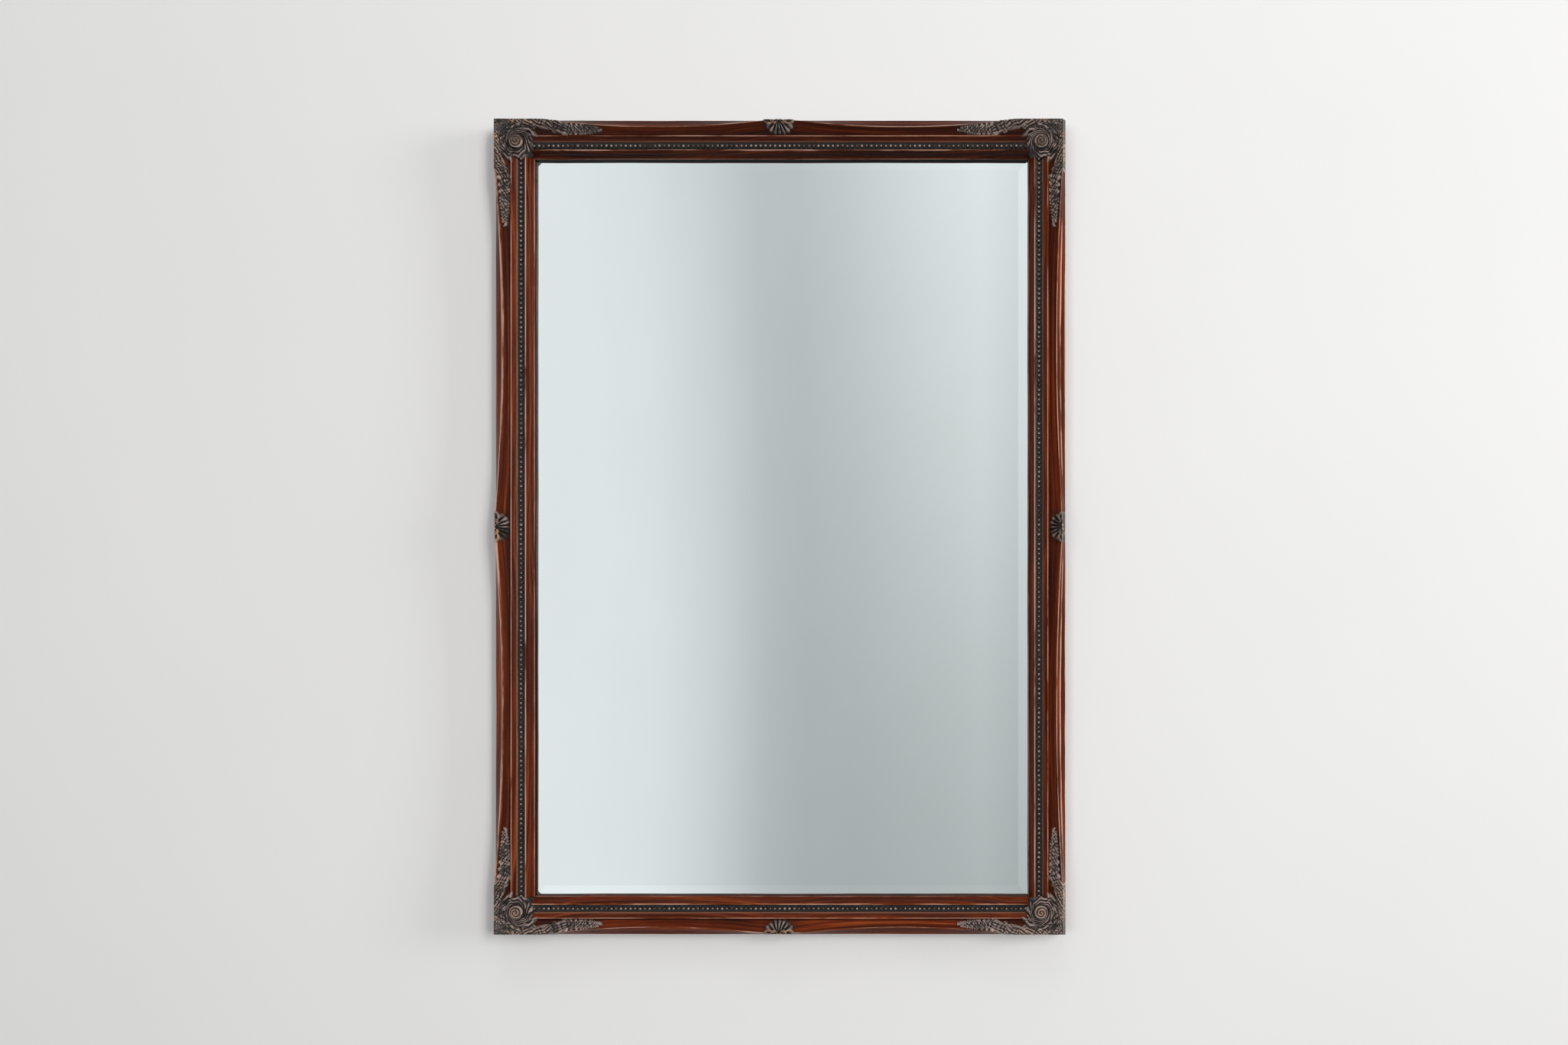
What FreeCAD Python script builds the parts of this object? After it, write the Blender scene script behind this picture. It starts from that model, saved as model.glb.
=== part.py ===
import FreeCAD, Part

import math
import os

from FreeCAD import Vector

# A carved wood wall mirror. Millimetres, +X to the right, +Z up, the front faces -Y.
# The origin is the middle of the flat back.

# Frame, outside
FRAME_WIDTH = 700.0
FRAME_HEIGHT = 1000.0

# Backing board, let in flush with the back of the frame
BOARD_THICKNESS = 3.0
BOARD_LEDGE = 8.0
BOARD_CLEARANCE = 0.5

# Mirror glass, and the rebate that it stands in
GLASS_THICKNESS = 4.0
GLASS_EDGE = 2.2
BEVEL_WIDTH = 18.0
REBATE_WIDTH = 7.0
GLASS_CLEARANCE = 1.5
LIP_CLEARANCE = 0.05
BLOCK_LENGTH = 40.0
BLOCK_SPACING = 320.0

# Moulding section: widths, in order from the outer wall to the sight edge
COVE_WIDTH = 19.5
RIDGE_RISE_WIDTH = 3.0
RIDGE_FALL_WIDTH = 5.3
OUTER_FILLET_WIDTH = 0.9
CHANNEL_WIDTH = 8.4
INNER_FILLET_WIDTH = 1.6
OGEE_WIDTH = 5.1
SIGHT_ROUND_WIDTH = 1.2

# Moulding section: heights, each above the one before it
LIP_THICKNESS = 5.6
SIGHT_ROUND_RISE = 1.0
OGEE_RISE = 7.8
OGEE_QUIRK = 0.8
CHANNEL_DEPTH = 1.6
OUTER_FILLET_RISE = 1.0
RIDGE_QUIRK = 0.6
RIDGE_RISE = 3.6
VALLEY_DEPTH = 4.6
COVE_RISE = 15.6

# Moulding section: how far each curved stretch bows from its chord
COVE_HOLLOW = 1.0
RIDGE_RISE_BOW = 0.8
RIDGE_FALL_HOLLOW = 0.5
OGEE_BOW = 0.5
SIGHT_BOW = 0.3

# Swept rim: the outer wall is level, and a slanted face from its top meets the cove in a crest,
# which stands near the wall at the corners and the middle and swings inwards between them
RIM_WALL_HEIGHT = 17.0
CORNER_CREST_INSET = 4.5
CENTRE_CREST_INSET = 5.5
SWEPT_CREST_INSET = 11.5
SWEEP_FROM_CORNER = 62.0
SWEEP_FROM_CENTRE = 22.0

# Pearl bead strips, laid in the channel
STRIP_END = 38.0
STRIP_CLEARANCE = 0.1
RIBBON_THICKNESS = 0.8
BEAD_RADIUS = 2.6
BEAD_PITCH = 5.9

# Carved leaf over each mitre: two arms, measured from the outer corner
LEAF_RELIEF = 4.0
LEAF_RIM_LENGTH = 70.0
LEAF_LENGTH = 130.0
LEAF_TIP_INSET = 11.0
LEAF_TIP_WIDTH = 6.0
LEAF_PAST_RIDGE = 1.5
LEAF_OUTER_LOBES = 3
LEAF_INNER_LOBES = 6
LOBE_BOW = 1.6

# Rosette on each corner, set out a little from where the bead rows would cross
ROSETTE_OFFSET = 2.0
ROSETTE_RADIUS = 17.5
ROSETTE_INNER_RADIUS = 10.5
ROSETTE_BUD_RADIUS = 5.2
ROSETTE_RISE = 3.5
ROSETTE_TIER = 2.2
ROSETTE_PETALS = 8
PETAL_BOW = 2.0

# Shell at the middle of each side
SHELL_LENGTH = 35.0
SHELL_DEPTH = 18.0
SHELL_EDGE = 0.8
SHELL_RELIEF = 3.5
SHELL_RIBS = 9
RIB_BOW = 0.7

# Hanger straps and D-rings, on the back of the stiles
HANGER_INSET = 15.0
HANGER_HEIGHT = 300.0
RING_WIRE = 1.5
RING_RUNNING_GAP = 0.06
RING_SIDE_GAP = 2.0
RING_LEG = 5.0
RING_REST_GAP = 0.5
STRAP_WIDTH = 11.0
STRAP_LENGTH = 37.0
STRAP_THICKNESS = 2.0
KNUCKLE_WALL = 1.0
STRAP_FIRST_SCREW = 20.5
STRAP_SCREW_PITCH = 10.0

# Hanger screws
HANGER_SCREW_RADIUS = 1.75
HANGER_SCREW_DEPTH = 14.0
HANGER_SCREW_GAP = 0.35
HANGER_HEAD_RADIUS = 3.4
HANGER_HEAD_TOP = 2.4
HANGER_HEAD_HEIGHT = 2.0

# Countersunk screws of the backing board
BOARD_SCREW_RADIUS = 1.5
BOARD_SCREW_LENGTH = 12.0
BOARD_SCREW_GAP = 0.15
BOARD_HEAD_RADIUS = 3.0
BOARD_HEAD_HEIGHT = 1.6
BOARD_HEAD_SINK = 0.1
BOARD_SCREW_PITCH = 230.0
BOARD_SCREW_END = 60.0

# Nails across the mitres, V-shaped in plan
NAIL_LEG = 3.5
NAIL_THICKNESS = 0.9
NAIL_DEPTH = 9.0
NAIL_INSETS = (7.0, 19.0)

# Wall bumpers, low on the stiles
BUMPER_RADIUS = 6.0
BUMPER_INSET = 15.0
BUMPER_RAISE = 45.0

# How far a cutting solid reaches past what it cuts
OVERCUT = 5.0

# Stations of the moulding, w from the outer wall inwards
RIDGE_W = COVE_WIDTH + RIDGE_RISE_WIDTH
FALL_W = RIDGE_W + RIDGE_FALL_WIDTH
CHANNEL_W = FALL_W + OUTER_FILLET_WIDTH
CHANNEL_END_W = CHANNEL_W + CHANNEL_WIDTH
OGEE_W = CHANNEL_END_W + INNER_FILLET_WIDTH
SIGHT_ROUND_W = OGEE_W + OGEE_WIDTH
SIGHT_W = SIGHT_ROUND_W + SIGHT_ROUND_WIDTH
BEAD_ROW_W = CHANNEL_W + CHANNEL_WIDTH / 2
CARVING_W = RIDGE_W + LEAF_PAST_RIDGE
ROSETTE_W = BEAD_ROW_W - ROSETTE_OFFSET
REBATE_W = SIGHT_W - REBATE_WIDTH
LEDGE_W = REBATE_W - BOARD_LEDGE
GLASS_W = REBATE_W + GLASS_CLEARANCE
BOARD_W = LEDGE_W + BOARD_CLEARANCE
BOARD_SCREW_W = (BOARD_W + REBATE_W) / 2

# Stations of the moulding, h from the back forwards
BEVEL_AT_LIP = (GLASS_THICKNESS - GLASS_EDGE) * (SIGHT_W - GLASS_W) / BEVEL_WIDTH
LIP_H = BOARD_THICKNESS + GLASS_EDGE + BEVEL_AT_LIP + LIP_CLEARANCE
SIGHT_H = LIP_H + LIP_THICKNESS
SIGHT_ROUND_H = SIGHT_H + SIGHT_ROUND_RISE
OGEE_H = SIGHT_ROUND_H + OGEE_RISE
INNER_FILLET_H = OGEE_H + OGEE_QUIRK
CHANNEL_H = INNER_FILLET_H - CHANNEL_DEPTH
OUTER_FILLET_H = INNER_FILLET_H + OUTER_FILLET_RISE
FALL_H = OUTER_FILLET_H + RIDGE_QUIRK
RIDGE_H = FALL_H + RIDGE_RISE
VALLEY_H = RIDGE_H - VALLEY_DEPTH
BLANK_H = VALLEY_H + COVE_RISE

KNUCKLE_RADIUS = RING_WIRE + RING_RUNNING_GAP + KNUCKLE_WALL
RING_HALF = STRAP_WIDTH / 2 + RING_SIDE_GAP + RING_WIRE
RING_REACH = RING_LEG + RING_HALF

FRONT = Vector(0, -1, 0)
BACK = Vector(0, 1, 0)
ORIGIN = Vector(0, 0, 0)


def cove_height(w):
    """Height of the hollow cove at w: the lower side of a circle through both ends of the cove."""
    chord = math.hypot(COVE_WIDTH, COVE_RISE)
    radius = (chord**2 / 4 + COVE_HOLLOW**2) / (2 * COVE_HOLLOW)
    centre_w = COVE_WIDTH / 2 + COVE_RISE / chord * (radius - COVE_HOLLOW)
    centre_h = VALLEY_H + COVE_RISE / 2 + COVE_WIDTH / chord * (radius - COVE_HOLLOW)
    return centre_h - math.sqrt(radius**2 - (w - centre_w) ** 2)


def slant_reach(crest_inset):
    """Inset at which the slanted face to a crest meets the flat that spans the hollow of the cove."""
    slope = (cove_height(crest_inset) - RIM_WALL_HEIGHT) / crest_inset
    return (BLANK_H - RIM_WALL_HEIGHT) / (slope + COVE_RISE / COVE_WIDTH)


SURFACE_LOW = RIM_WALL_HEIGHT - OVERCUT


def closed_face(path, place):
    """Face inside a closed path of (u, v) or (u, v, bow) points.

    A bow makes the stretch that ends at its point an arc, lifted to the left by that much.
    """
    edges = []
    for start, end in zip(path[-1:] + path[:-1], path):
        first = place(start[0], start[1])
        last = place(end[0], end[1])
        bow = end[2] if len(end) > 2 else 0.0
        if bow:
            run_u = end[0] - start[0]
            run_v = end[1] - start[1]
            run = math.hypot(run_u, run_v)
            middle_u = (start[0] + end[0]) / 2 - run_v / run * bow
            middle_v = (start[1] + end[1]) / 2 + run_u / run * bow
            edges.append(Part.Arc(first, place(middle_u, middle_v), last).toShape())
        else:
            edges.append(Part.makeLine(first, last))
    return Part.Face(Part.Wire(edges))


def lobes(start, end, count, bow):
    """Points from start to end, with an arc of the given bow between each two."""
    step_u = (end[0] - start[0]) / count
    step_v = (end[1] - start[1]) / count
    return [(start[0] + step_u * i, start[1] + step_v * i, bow) for i in range(1, count + 1)]


def turned(shape, angle):
    """Copy of a shape made for the top of the frame, turned about the frame's middle to another side."""
    copy = shape.copy()
    copy.rotate(ORIGIN, BACK, angle)
    return copy


def cornered(shape, right, low):
    """Copy of a shape made for the top left corner, mirrored to another corner."""
    copy = shape.copy()
    if right:
        copy = copy.mirror(ORIGIN, Vector(1, 0, 0))
    if low:
        copy = copy.mirror(ORIGIN, Vector(0, 0, 1))
    return copy


def largest_solid(shape):
    return max(shape.Solids, key=lambda solid: solid.Volume)


def moulding_blank(length, reach):
    """Straight length of the moulding along X, with its outer wall at z = reach."""
    middle_w = OGEE_W + OGEE_WIDTH / 2
    middle_h = SIGHT_ROUND_H + OGEE_RISE / 2
    section = [
        (0, 0),
        (0, BLANK_H),
        (COVE_WIDTH, VALLEY_H, -COVE_HOLLOW),
        (RIDGE_W, RIDGE_H, RIDGE_RISE_BOW),
        (FALL_W, FALL_H, -RIDGE_FALL_HOLLOW),
        (FALL_W, OUTER_FILLET_H),
        (CHANNEL_W, OUTER_FILLET_H),
        (CHANNEL_W, CHANNEL_H),
        (CHANNEL_END_W, CHANNEL_H),
        (CHANNEL_END_W, INNER_FILLET_H),
        (OGEE_W, INNER_FILLET_H),
        (OGEE_W, OGEE_H),
        (middle_w, middle_h, OGEE_BOW),
        (SIGHT_ROUND_W, SIGHT_ROUND_H, -OGEE_BOW),
        (SIGHT_W, SIGHT_H, SIGHT_BOW),
        (SIGHT_W, LIP_H),
        (REBATE_W, LIP_H),
        (REBATE_W, BOARD_THICKNESS),
        (LEDGE_W, BOARD_THICKNESS),
        (LEDGE_W, 0),
    ]
    face = closed_face(section, lambda w, h: Vector(-length / 2, -h, reach - w))
    return face.extrude(Vector(length, 0, 0))


def mitre_block(length, reach):
    """Everything between the two 45 degree mitre planes of a member."""
    inner = SIGHT_W + OVERCUT
    plan = [
        (-length / 2, 0),
        (length / 2, 0),
        (length / 2 - inner, inner),
        (-length / 2 + inner, inner),
    ]
    face = closed_face(plan, lambda s, w: Vector(s, OVERCUT, reach - w))
    return face.extrude(FRONT * (BLANK_H + 2 * OVERCUT))


def sweep_cutter(length, reach):
    """Everything outside the slanted face: its outer edge is straight, its inner edge swings in two arcs."""
    end = length / 2 + OVERCUT
    corner = length / 2 - SWEEP_FROM_CORNER
    corner_w = slant_reach(CORNER_CREST_INSET)
    centre_w = slant_reach(CENTRE_CREST_INSET)
    swing = slant_reach(SWEPT_CREST_INSET) - (corner_w + centre_w) / 2
    crest = [
        (-end, corner_w),
        (-corner, corner_w),
        (-SWEEP_FROM_CENTRE, centre_w, swing),
        (SWEEP_FROM_CENTRE, centre_w),
        (corner, corner_w, swing),
        (end, corner_w),
    ]
    wall = [(s, RIM_WALL_HEIGHT) for s, *_ in crest]
    wall += [(end, BLANK_H + OVERCUT), (-end, BLANK_H + OVERCUT)]
    crest += [(end, corner_w / 2), (-end, corner_w / 2)]

    def on_flat(s, w):
        return Vector(s, w * COVE_RISE / COVE_WIDTH - BLANK_H, reach - w)

    outlines = [
        closed_face(wall, lambda s, h: Vector(s, -h, reach + OVERCUT)),
        closed_face(wall, lambda s, h: Vector(s, -h, reach)),
        closed_face(crest, on_flat),
    ]
    return Part.makeLoft([outline.OuterWire for outline in outlines], True, True)


def frame_member(length, reach):
    member = moulding_blank(length, reach).common(mitre_block(length, reach))
    return member.cut(sweep_cutter(length, reach))


def bead_strip(length, reach):
    """Thin ribbon with a row of half-round pearls, laid in the channel."""
    span = length - 2 * STRIP_END
    width = CHANNEL_WIDTH - 2 * STRIP_CLEARANCE
    low_corner = Vector(-span / 2, -CHANNEL_H - RIBBON_THICKNESS, reach - CHANNEL_W - STRIP_CLEARANCE - width)
    ribbon = Part.makeBox(span, RIBBON_THICKNESS, width, low_corner)
    count = int(span // BEAD_PITCH)
    row_z = reach - BEAD_ROW_W
    row_y = -CHANNEL_H - RIBBON_THICKNESS
    beads = []
    for i in range(count):
        centre = Vector((i - (count - 1) / 2) * BEAD_PITCH, row_y, row_z)
        beads.append(Part.makeSphere(BEAD_RADIUS, centre, FRONT, 0, 90))
    return ribbon.fuse(beads)


def carving_stock(relief, crest_inset, start, end, reach):
    """Stock that stands by the relief over the rim, cove and ridge, from start to end along X."""
    middle_w = (crest_inset + COVE_WIDTH) / 2
    section = [
        (0, SURFACE_LOW),
        (0, RIM_WALL_HEIGHT + relief),
        (crest_inset, cove_height(crest_inset) + relief / 2),
        (middle_w, cove_height(middle_w) + relief),
        (COVE_WIDTH, VALLEY_H + relief),
        (CARVING_W, RIDGE_H + relief / 2),
        (CARVING_W, SURFACE_LOW),
    ]
    face = closed_face(section, lambda w, h: Vector(start, -h, reach - w))
    return face.extrude(Vector(end - start, 0, 0))


def leaf_arm():
    """Arm of the top left leaf along the top rail, up to the mitre plane."""
    left = -FRAME_WIDTH / 2
    reach = FRAME_HEIGHT / 2
    tip_outer = (LEAF_LENGTH, LEAF_TIP_INSET)
    tip_inner = (LEAF_LENGTH, LEAF_TIP_INSET + LEAF_TIP_WIDTH)
    outline = [(0, 0), (LEAF_RIM_LENGTH, 0)]
    outline += [(LEAF_RIM_LENGTH, CORNER_CREST_INSET)]
    outline += lobes((LEAF_RIM_LENGTH, CORNER_CREST_INSET), tip_outer, LEAF_OUTER_LOBES, -LOBE_BOW)
    outline += [(*tip_inner, -LEAF_TIP_WIDTH / 2)]
    outline += lobes(tip_inner, (CARVING_W + LOBE_BOW, CARVING_W - LOBE_BOW), LEAF_INNER_LOBES, -LOBE_BOW)
    outline += [(CARVING_W, CARVING_W)]
    plan = closed_face(outline, lambda d, w: Vector(left + d, -SURFACE_LOW, reach - w))
    column = plan.extrude(FRONT * (BLANK_H + LEAF_RELIEF - SURFACE_LOW))
    end = left + LEAF_LENGTH + LEAF_TIP_WIDTH
    return column.common(carving_stock(LEAF_RELIEF, CORNER_CREST_INSET, left, end, reach))


def corner_leaf(top_rail, left_stile):
    """Leaf over the top left mitre: one arm along each member, bedded on both."""
    along_top = leaf_arm()
    # The other arm is its mirror image in the mitre plane
    corner = Vector(-FRAME_WIDTH / 2, 0, FRAME_HEIGHT / 2)
    along_left = along_top.mirror(corner, Vector(1, 0, 1))
    return largest_solid(along_top.fuse(along_left).cut([top_rail, left_stile]))


def petal_ring(radius, low, high, centre):
    """Disc with a lobed edge, standing forward from low to high."""
    ring = []
    inner = radius - PETAL_BOW
    for i in range(ROSETTE_PETALS):
        angle = 2 * math.pi * i / ROSETTE_PETALS
        ring.append((inner * math.cos(angle), inner * math.sin(angle), -PETAL_BOW))
    face = closed_face(ring, lambda u, v: Vector(centre.x + u, -low, centre.z + v))
    return face.extrude(FRONT * (high - low))


def rosette(bed):
    """Two rings of petals and a bud over the top left corner, bedded on the pieces below."""
    centre = Vector(-FRAME_WIDTH / 2 + ROSETTE_W, 0, FRAME_HEIGHT / 2 - ROSETTE_W)
    outer_h = RIDGE_H + ROSETTE_RISE
    inner_h = outer_h + ROSETTE_TIER
    outer = petal_ring(ROSETTE_RADIUS, SIGHT_H, outer_h, centre)
    inner = petal_ring(ROSETTE_INNER_RADIUS, outer_h, inner_h, centre)
    bud = Part.makeSphere(ROSETTE_BUD_RADIUS, Vector(centre.x, -inner_h, centre.z), FRONT, 0, 90)
    return largest_solid(outer.fuse([inner, bud]).cut(bed))


def shell(member, reach):
    """Fan of ribs at the middle of a member, opening from the rim towards the glass."""
    half = SHELL_LENGTH / 2
    fan = []
    for i in range(SHELL_RIBS + 1):
        angle = math.pi * i / SHELL_RIBS
        fan.append((half * math.cos(angle), SHELL_EDGE + SHELL_DEPTH * math.sin(angle), -RIB_BOW))
    fan[0] = fan[0][:2]
    plan = closed_face(fan, lambda s, w: Vector(s, -SURFACE_LOW, reach - w))
    column = plan.extrude(FRONT * (BLANK_H + SHELL_RELIEF - SURFACE_LOW))
    stock = carving_stock(SHELL_RELIEF, CENTRE_CREST_INSET, -half, half, reach)
    return largest_solid(column.common(stock).cut(member))


def mirror_glass():
    """Bevelled plate, its silvered back against the backing board."""
    half_x = FRAME_WIDTH / 2 - GLASS_W
    half_z = FRAME_HEIGHT / 2 - GLASS_W

    def outline(inset, h):
        x = half_x - inset
        z = half_z - inset
        corners = [Vector(-x, -h, -z), Vector(x, -h, -z), Vector(x, -h, z), Vector(-x, -h, z)]
        return Part.makePolygon(corners + corners[:1])

    edge_h = BOARD_THICKNESS + GLASS_EDGE
    plate = Part.Face(outline(0, BOARD_THICKNESS)).extrude(FRONT * GLASS_EDGE)
    face_h = BOARD_THICKNESS + GLASS_THICKNESS
    bevel = Part.makeLoft([outline(0, edge_h), outline(BEVEL_WIDTH, face_h)], True, True)
    return plate.fuse(bevel).removeSplitter()


def setting_blocks():
    """Two strips between the lower edge of the glass and its rebate."""
    low = -FRAME_HEIGHT / 2 + REBATE_W
    blocks = []
    for x in (-BLOCK_SPACING / 2, BLOCK_SPACING / 2):
        corner = Vector(x - BLOCK_LENGTH / 2, -BOARD_THICKNESS - GLASS_EDGE, low)
        blocks.append(Part.makeBox(BLOCK_LENGTH, GLASS_EDGE, GLASS_CLEARANCE, corner))
    return Part.makeCompound(blocks)


def board_screw_spread(length):
    """Places of the board's screws along a side of the given length, evenly spread."""
    span = length - 2 * (BOARD_W + BOARD_SCREW_END)
    gaps = math.ceil(span / BOARD_SCREW_PITCH)
    return [span * (i / gaps - 0.5) for i in range(gaps + 1)]


def board_screw_places():
    """Middles of the board's screws, in the middle of the ledge all round."""
    across_x = FRAME_WIDTH / 2 - BOARD_SCREW_W
    across_z = FRAME_HEIGHT / 2 - BOARD_SCREW_W
    places = []
    for side in (-1, 1):
        places += [Vector(along, 0, side * across_z) for along in board_screw_spread(FRAME_WIDTH)]
        places += [Vector(side * across_x, 0, along) for along in board_screw_spread(FRAME_HEIGHT)]
    return places


def board_screw(place, shank_radius, sink):
    """Countersunk screw, or the hole for one, driven forwards from the back."""
    head = place + FRONT * sink
    cone = Part.makeCone(BOARD_HEAD_RADIUS, BOARD_SCREW_RADIUS, BOARD_HEAD_HEIGHT, head, FRONT)
    shank = Part.makeCylinder(shank_radius, BOARD_SCREW_LENGTH, head, FRONT)
    return cone.fuse(shank)


def board_screw_hole(place):
    mouth = Part.makeCylinder(BOARD_HEAD_RADIUS, BOARD_HEAD_SINK, place, FRONT)
    return mouth.fuse(board_screw(place, BOARD_SCREW_RADIUS + BOARD_SCREW_GAP, BOARD_HEAD_SINK))


def backing_board():
    half_x = FRAME_WIDTH / 2 - BOARD_W
    half_z = FRAME_HEIGHT / 2 - BOARD_W
    board = Part.makeBox(2 * half_x, BOARD_THICKNESS, 2 * half_z, Vector(-half_x, -BOARD_THICKNESS, -half_z))
    return board.cut([board_screw_hole(place) for place in board_screw_places()])


def mitre_nails():
    """Nails across the top left mitre, driven in from the back until flush."""
    diagonal = math.sqrt(0.5)
    chevron = [
        (0, 0),
        (NAIL_LEG, NAIL_LEG),
        (NAIL_LEG + NAIL_THICKNESS, NAIL_LEG),
        (NAIL_THICKNESS, 0),
        (NAIL_LEG + NAIL_THICKNESS, -NAIL_LEG),
        (NAIL_LEG, -NAIL_LEG),
    ]
    nails = []
    for inset in NAIL_INSETS:
        left = -FRAME_WIDTH / 2 + inset
        top = FRAME_HEIGHT / 2 - inset

        def place(a, b, left=left, top=top):
            return Vector(left + (a + b) * diagonal, 0, top - (a - b) * diagonal)

        nails.append(closed_face(chevron, place).extrude(FRONT * NAIL_DEPTH))
    return nails


def hanger_axis(side):
    """Middle of a ring's bar, left (-1) or right (1)."""
    return Vector(side * (FRAME_WIDTH / 2 - HANGER_INSET), KNUCKLE_RADIUS, HANGER_HEIGHT)


def hanger_screw_places(side):
    axis = hanger_axis(side)
    first = axis.z - STRAP_FIRST_SCREW
    return [Vector(axis.x, 0, first), Vector(axis.x, 0, first - STRAP_SCREW_PITCH)]


def hanger_strap(side):
    """Flat strap folded round the ring's bar, with a round lower end and two screw holes."""
    axis = hanger_axis(side)
    half = STRAP_WIDTH / 2
    straight = STRAP_LENGTH - half
    outline = [(-half, 0), (-half, -straight), (half, -straight, -half), (half, 0)]
    face = closed_face(outline, lambda u, v: Vector(axis.x + u, 0, axis.z + v))
    plate = face.extrude(BACK * STRAP_THICKNESS)
    bar_start = Vector(axis.x - half, axis.y, axis.z)
    along = Vector(1, 0, 0)
    knuckle = Part.makeCylinder(KNUCKLE_RADIUS, STRAP_WIDTH, bar_start, along)
    bore = Part.makeCylinder(RING_WIRE + RING_RUNNING_GAP, STRAP_WIDTH, bar_start, along)
    hole_radius = HANGER_SCREW_RADIUS + HANGER_SCREW_GAP
    places = hanger_screw_places(side)
    holes = [Part.makeCylinder(hole_radius, STRAP_THICKNESS, place, BACK) for place in places]
    return plate.fuse(knuckle).cut([bore, *holes])


def hanger_ring(side):
    """D-shaped wire ring hanging from its bar, tipped back just enough to lie on the strap."""
    axis = hanger_axis(side)
    down = Vector(0, 0, -1)
    left = Vector(axis.x - RING_HALF, axis.y, axis.z)
    right = Vector(axis.x + RING_HALF, axis.y, axis.z)
    bar = Part.makeCylinder(RING_WIRE, 2 * RING_HALF, left, Vector(1, 0, 0))
    pieces = []
    for end in (left, right):
        pieces.append(Part.makeSphere(RING_WIRE, end))
        pieces.append(Part.makeCylinder(RING_WIRE, RING_LEG, end, down))
    bow_centre = Vector(axis.x, axis.y, axis.z - RING_LEG)
    bow = Part.makeTorus(RING_HALF, RING_WIRE, bow_centre, BACK)
    below = Part.makeBox(
        2 * RING_REACH,
        4 * RING_WIRE,
        RING_REACH,
        Vector(axis.x - RING_REACH, axis.y - 2 * RING_WIRE, bow_centre.z - RING_REACH),
    )
    ring = bar.fuse([*pieces, bow.common(below)])
    tip = (STRAP_THICKNESS + RING_REST_GAP + RING_WIRE - KNUCKLE_RADIUS) / RING_REACH
    ring.rotate(axis, Vector(1, 0, 0), math.degrees(math.asin(tip)))
    return ring


def hanger_screw(place):
    seat = place + BACK * STRAP_THICKNESS
    head = Part.makeCone(HANGER_HEAD_RADIUS, HANGER_HEAD_TOP, HANGER_HEAD_HEIGHT, seat, BACK)
    shank = Part.makeCylinder(HANGER_SCREW_RADIUS, HANGER_SCREW_DEPTH + STRAP_THICKNESS, seat, FRONT)
    return head.fuse(shank)


def wall_bumpers():
    """Two round pads as thick as the hanger knuckles, so that the mirror hangs square to the wall."""
    pads = []
    for side in (-1, 1):
        place = Vector(side * (FRAME_WIDTH / 2 - BUMPER_INSET), 0, -FRAME_HEIGHT / 2 + BUMPER_RAISE)
        pads.append(Part.makeCylinder(BUMPER_RADIUS, 2 * KNUCKLE_RADIUS, place, BACK))
    return Part.makeCompound(pads)


def build():
    """All nodes of the mirror, by name."""
    sides = {
        "top": (FRAME_WIDTH, FRAME_HEIGHT / 2, 0),
        "right": (FRAME_HEIGHT, FRAME_WIDTH / 2, 90),
        "bottom": (FRAME_WIDTH, FRAME_HEIGHT / 2, 180),
        "left": (FRAME_HEIGHT, FRAME_WIDTH / 2, 270),
    }
    corners = {
        "top_left": (False, False),
        "top_right": (True, False),
        "bottom_left": (False, True),
        "bottom_right": (True, True),
    }
    member_names = {"top": "top_rail", "bottom": "bottom_rail", "left": "left_stile", "right": "right_stile"}

    members = {}
    nodes = {}
    for side, (length, reach, angle) in sides.items():
        member = frame_member(length, reach)
        members[side] = turned(member, angle)
        nodes[f"{side}_bead_strip"] = turned(bead_strip(length, reach), angle)
        nodes[f"{side}_shell"] = turned(shell(member, reach), angle)

    leaf = corner_leaf(members["top"], members["left"])
    strips = [nodes["top_bead_strip"], nodes["left_bead_strip"]]
    bloom = rosette([members["top"], members["left"], leaf, *strips])
    nails = []
    for corner, (right, low) in corners.items():
        nodes[f"{corner}_leaf"] = cornered(leaf, right, low)
        nodes[f"{corner}_rosette"] = cornered(bloom, right, low)
        nails += [cornered(nail, right, low) for nail in mitre_nails()]
    nodes["mitre_nails"] = Part.makeCompound(nails)

    board_screws = [board_screw(place, BOARD_SCREW_RADIUS, BOARD_HEAD_SINK) for place in board_screw_places()]
    hanger_screws = [hanger_screw(place) for side in (-1, 1) for place in hanger_screw_places(side)]
    for side, member in members.items():
        nodes[member_names[side]] = member.cut([*nails, *board_screws, *hanger_screws])

    nodes["mirror_glass"] = mirror_glass()
    nodes["setting_blocks"] = setting_blocks()
    nodes["backing_board"] = backing_board()
    nodes["backing_screws"] = Part.makeCompound(board_screws)
    for name, side in (("left", -1), ("right", 1)):
        nodes[f"{name}_hanger_strap"] = hanger_strap(side)
        nodes[f"{name}_hanger_ring"] = hanger_ring(side)
    nodes["hanger_screws"] = Part.makeCompound(hanger_screws)
    nodes["wall_bumpers"] = wall_bumpers()
    return nodes


os.makedirs("parts", exist_ok=True)
for name, shape in build().items():
    shape.exportStep(f"parts/{name}.step")
    state = "valid" if shape.isValid() else "NOT VALID"
    print(name, len(shape.Solids), "solids", round(shape.Volume), "mm3", state)
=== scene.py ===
# %% [markdown]
# # A carved wall mirror
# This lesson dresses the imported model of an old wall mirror: swept mouldings, pearl strips, carved corners
# and shells, and a bevelled glass. The model gives every place and size. Carving needs far more points than
# it holds, so each carved piece is worked out again here as a numpy surface, in millimetres.

import math
from functools import partial

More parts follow.
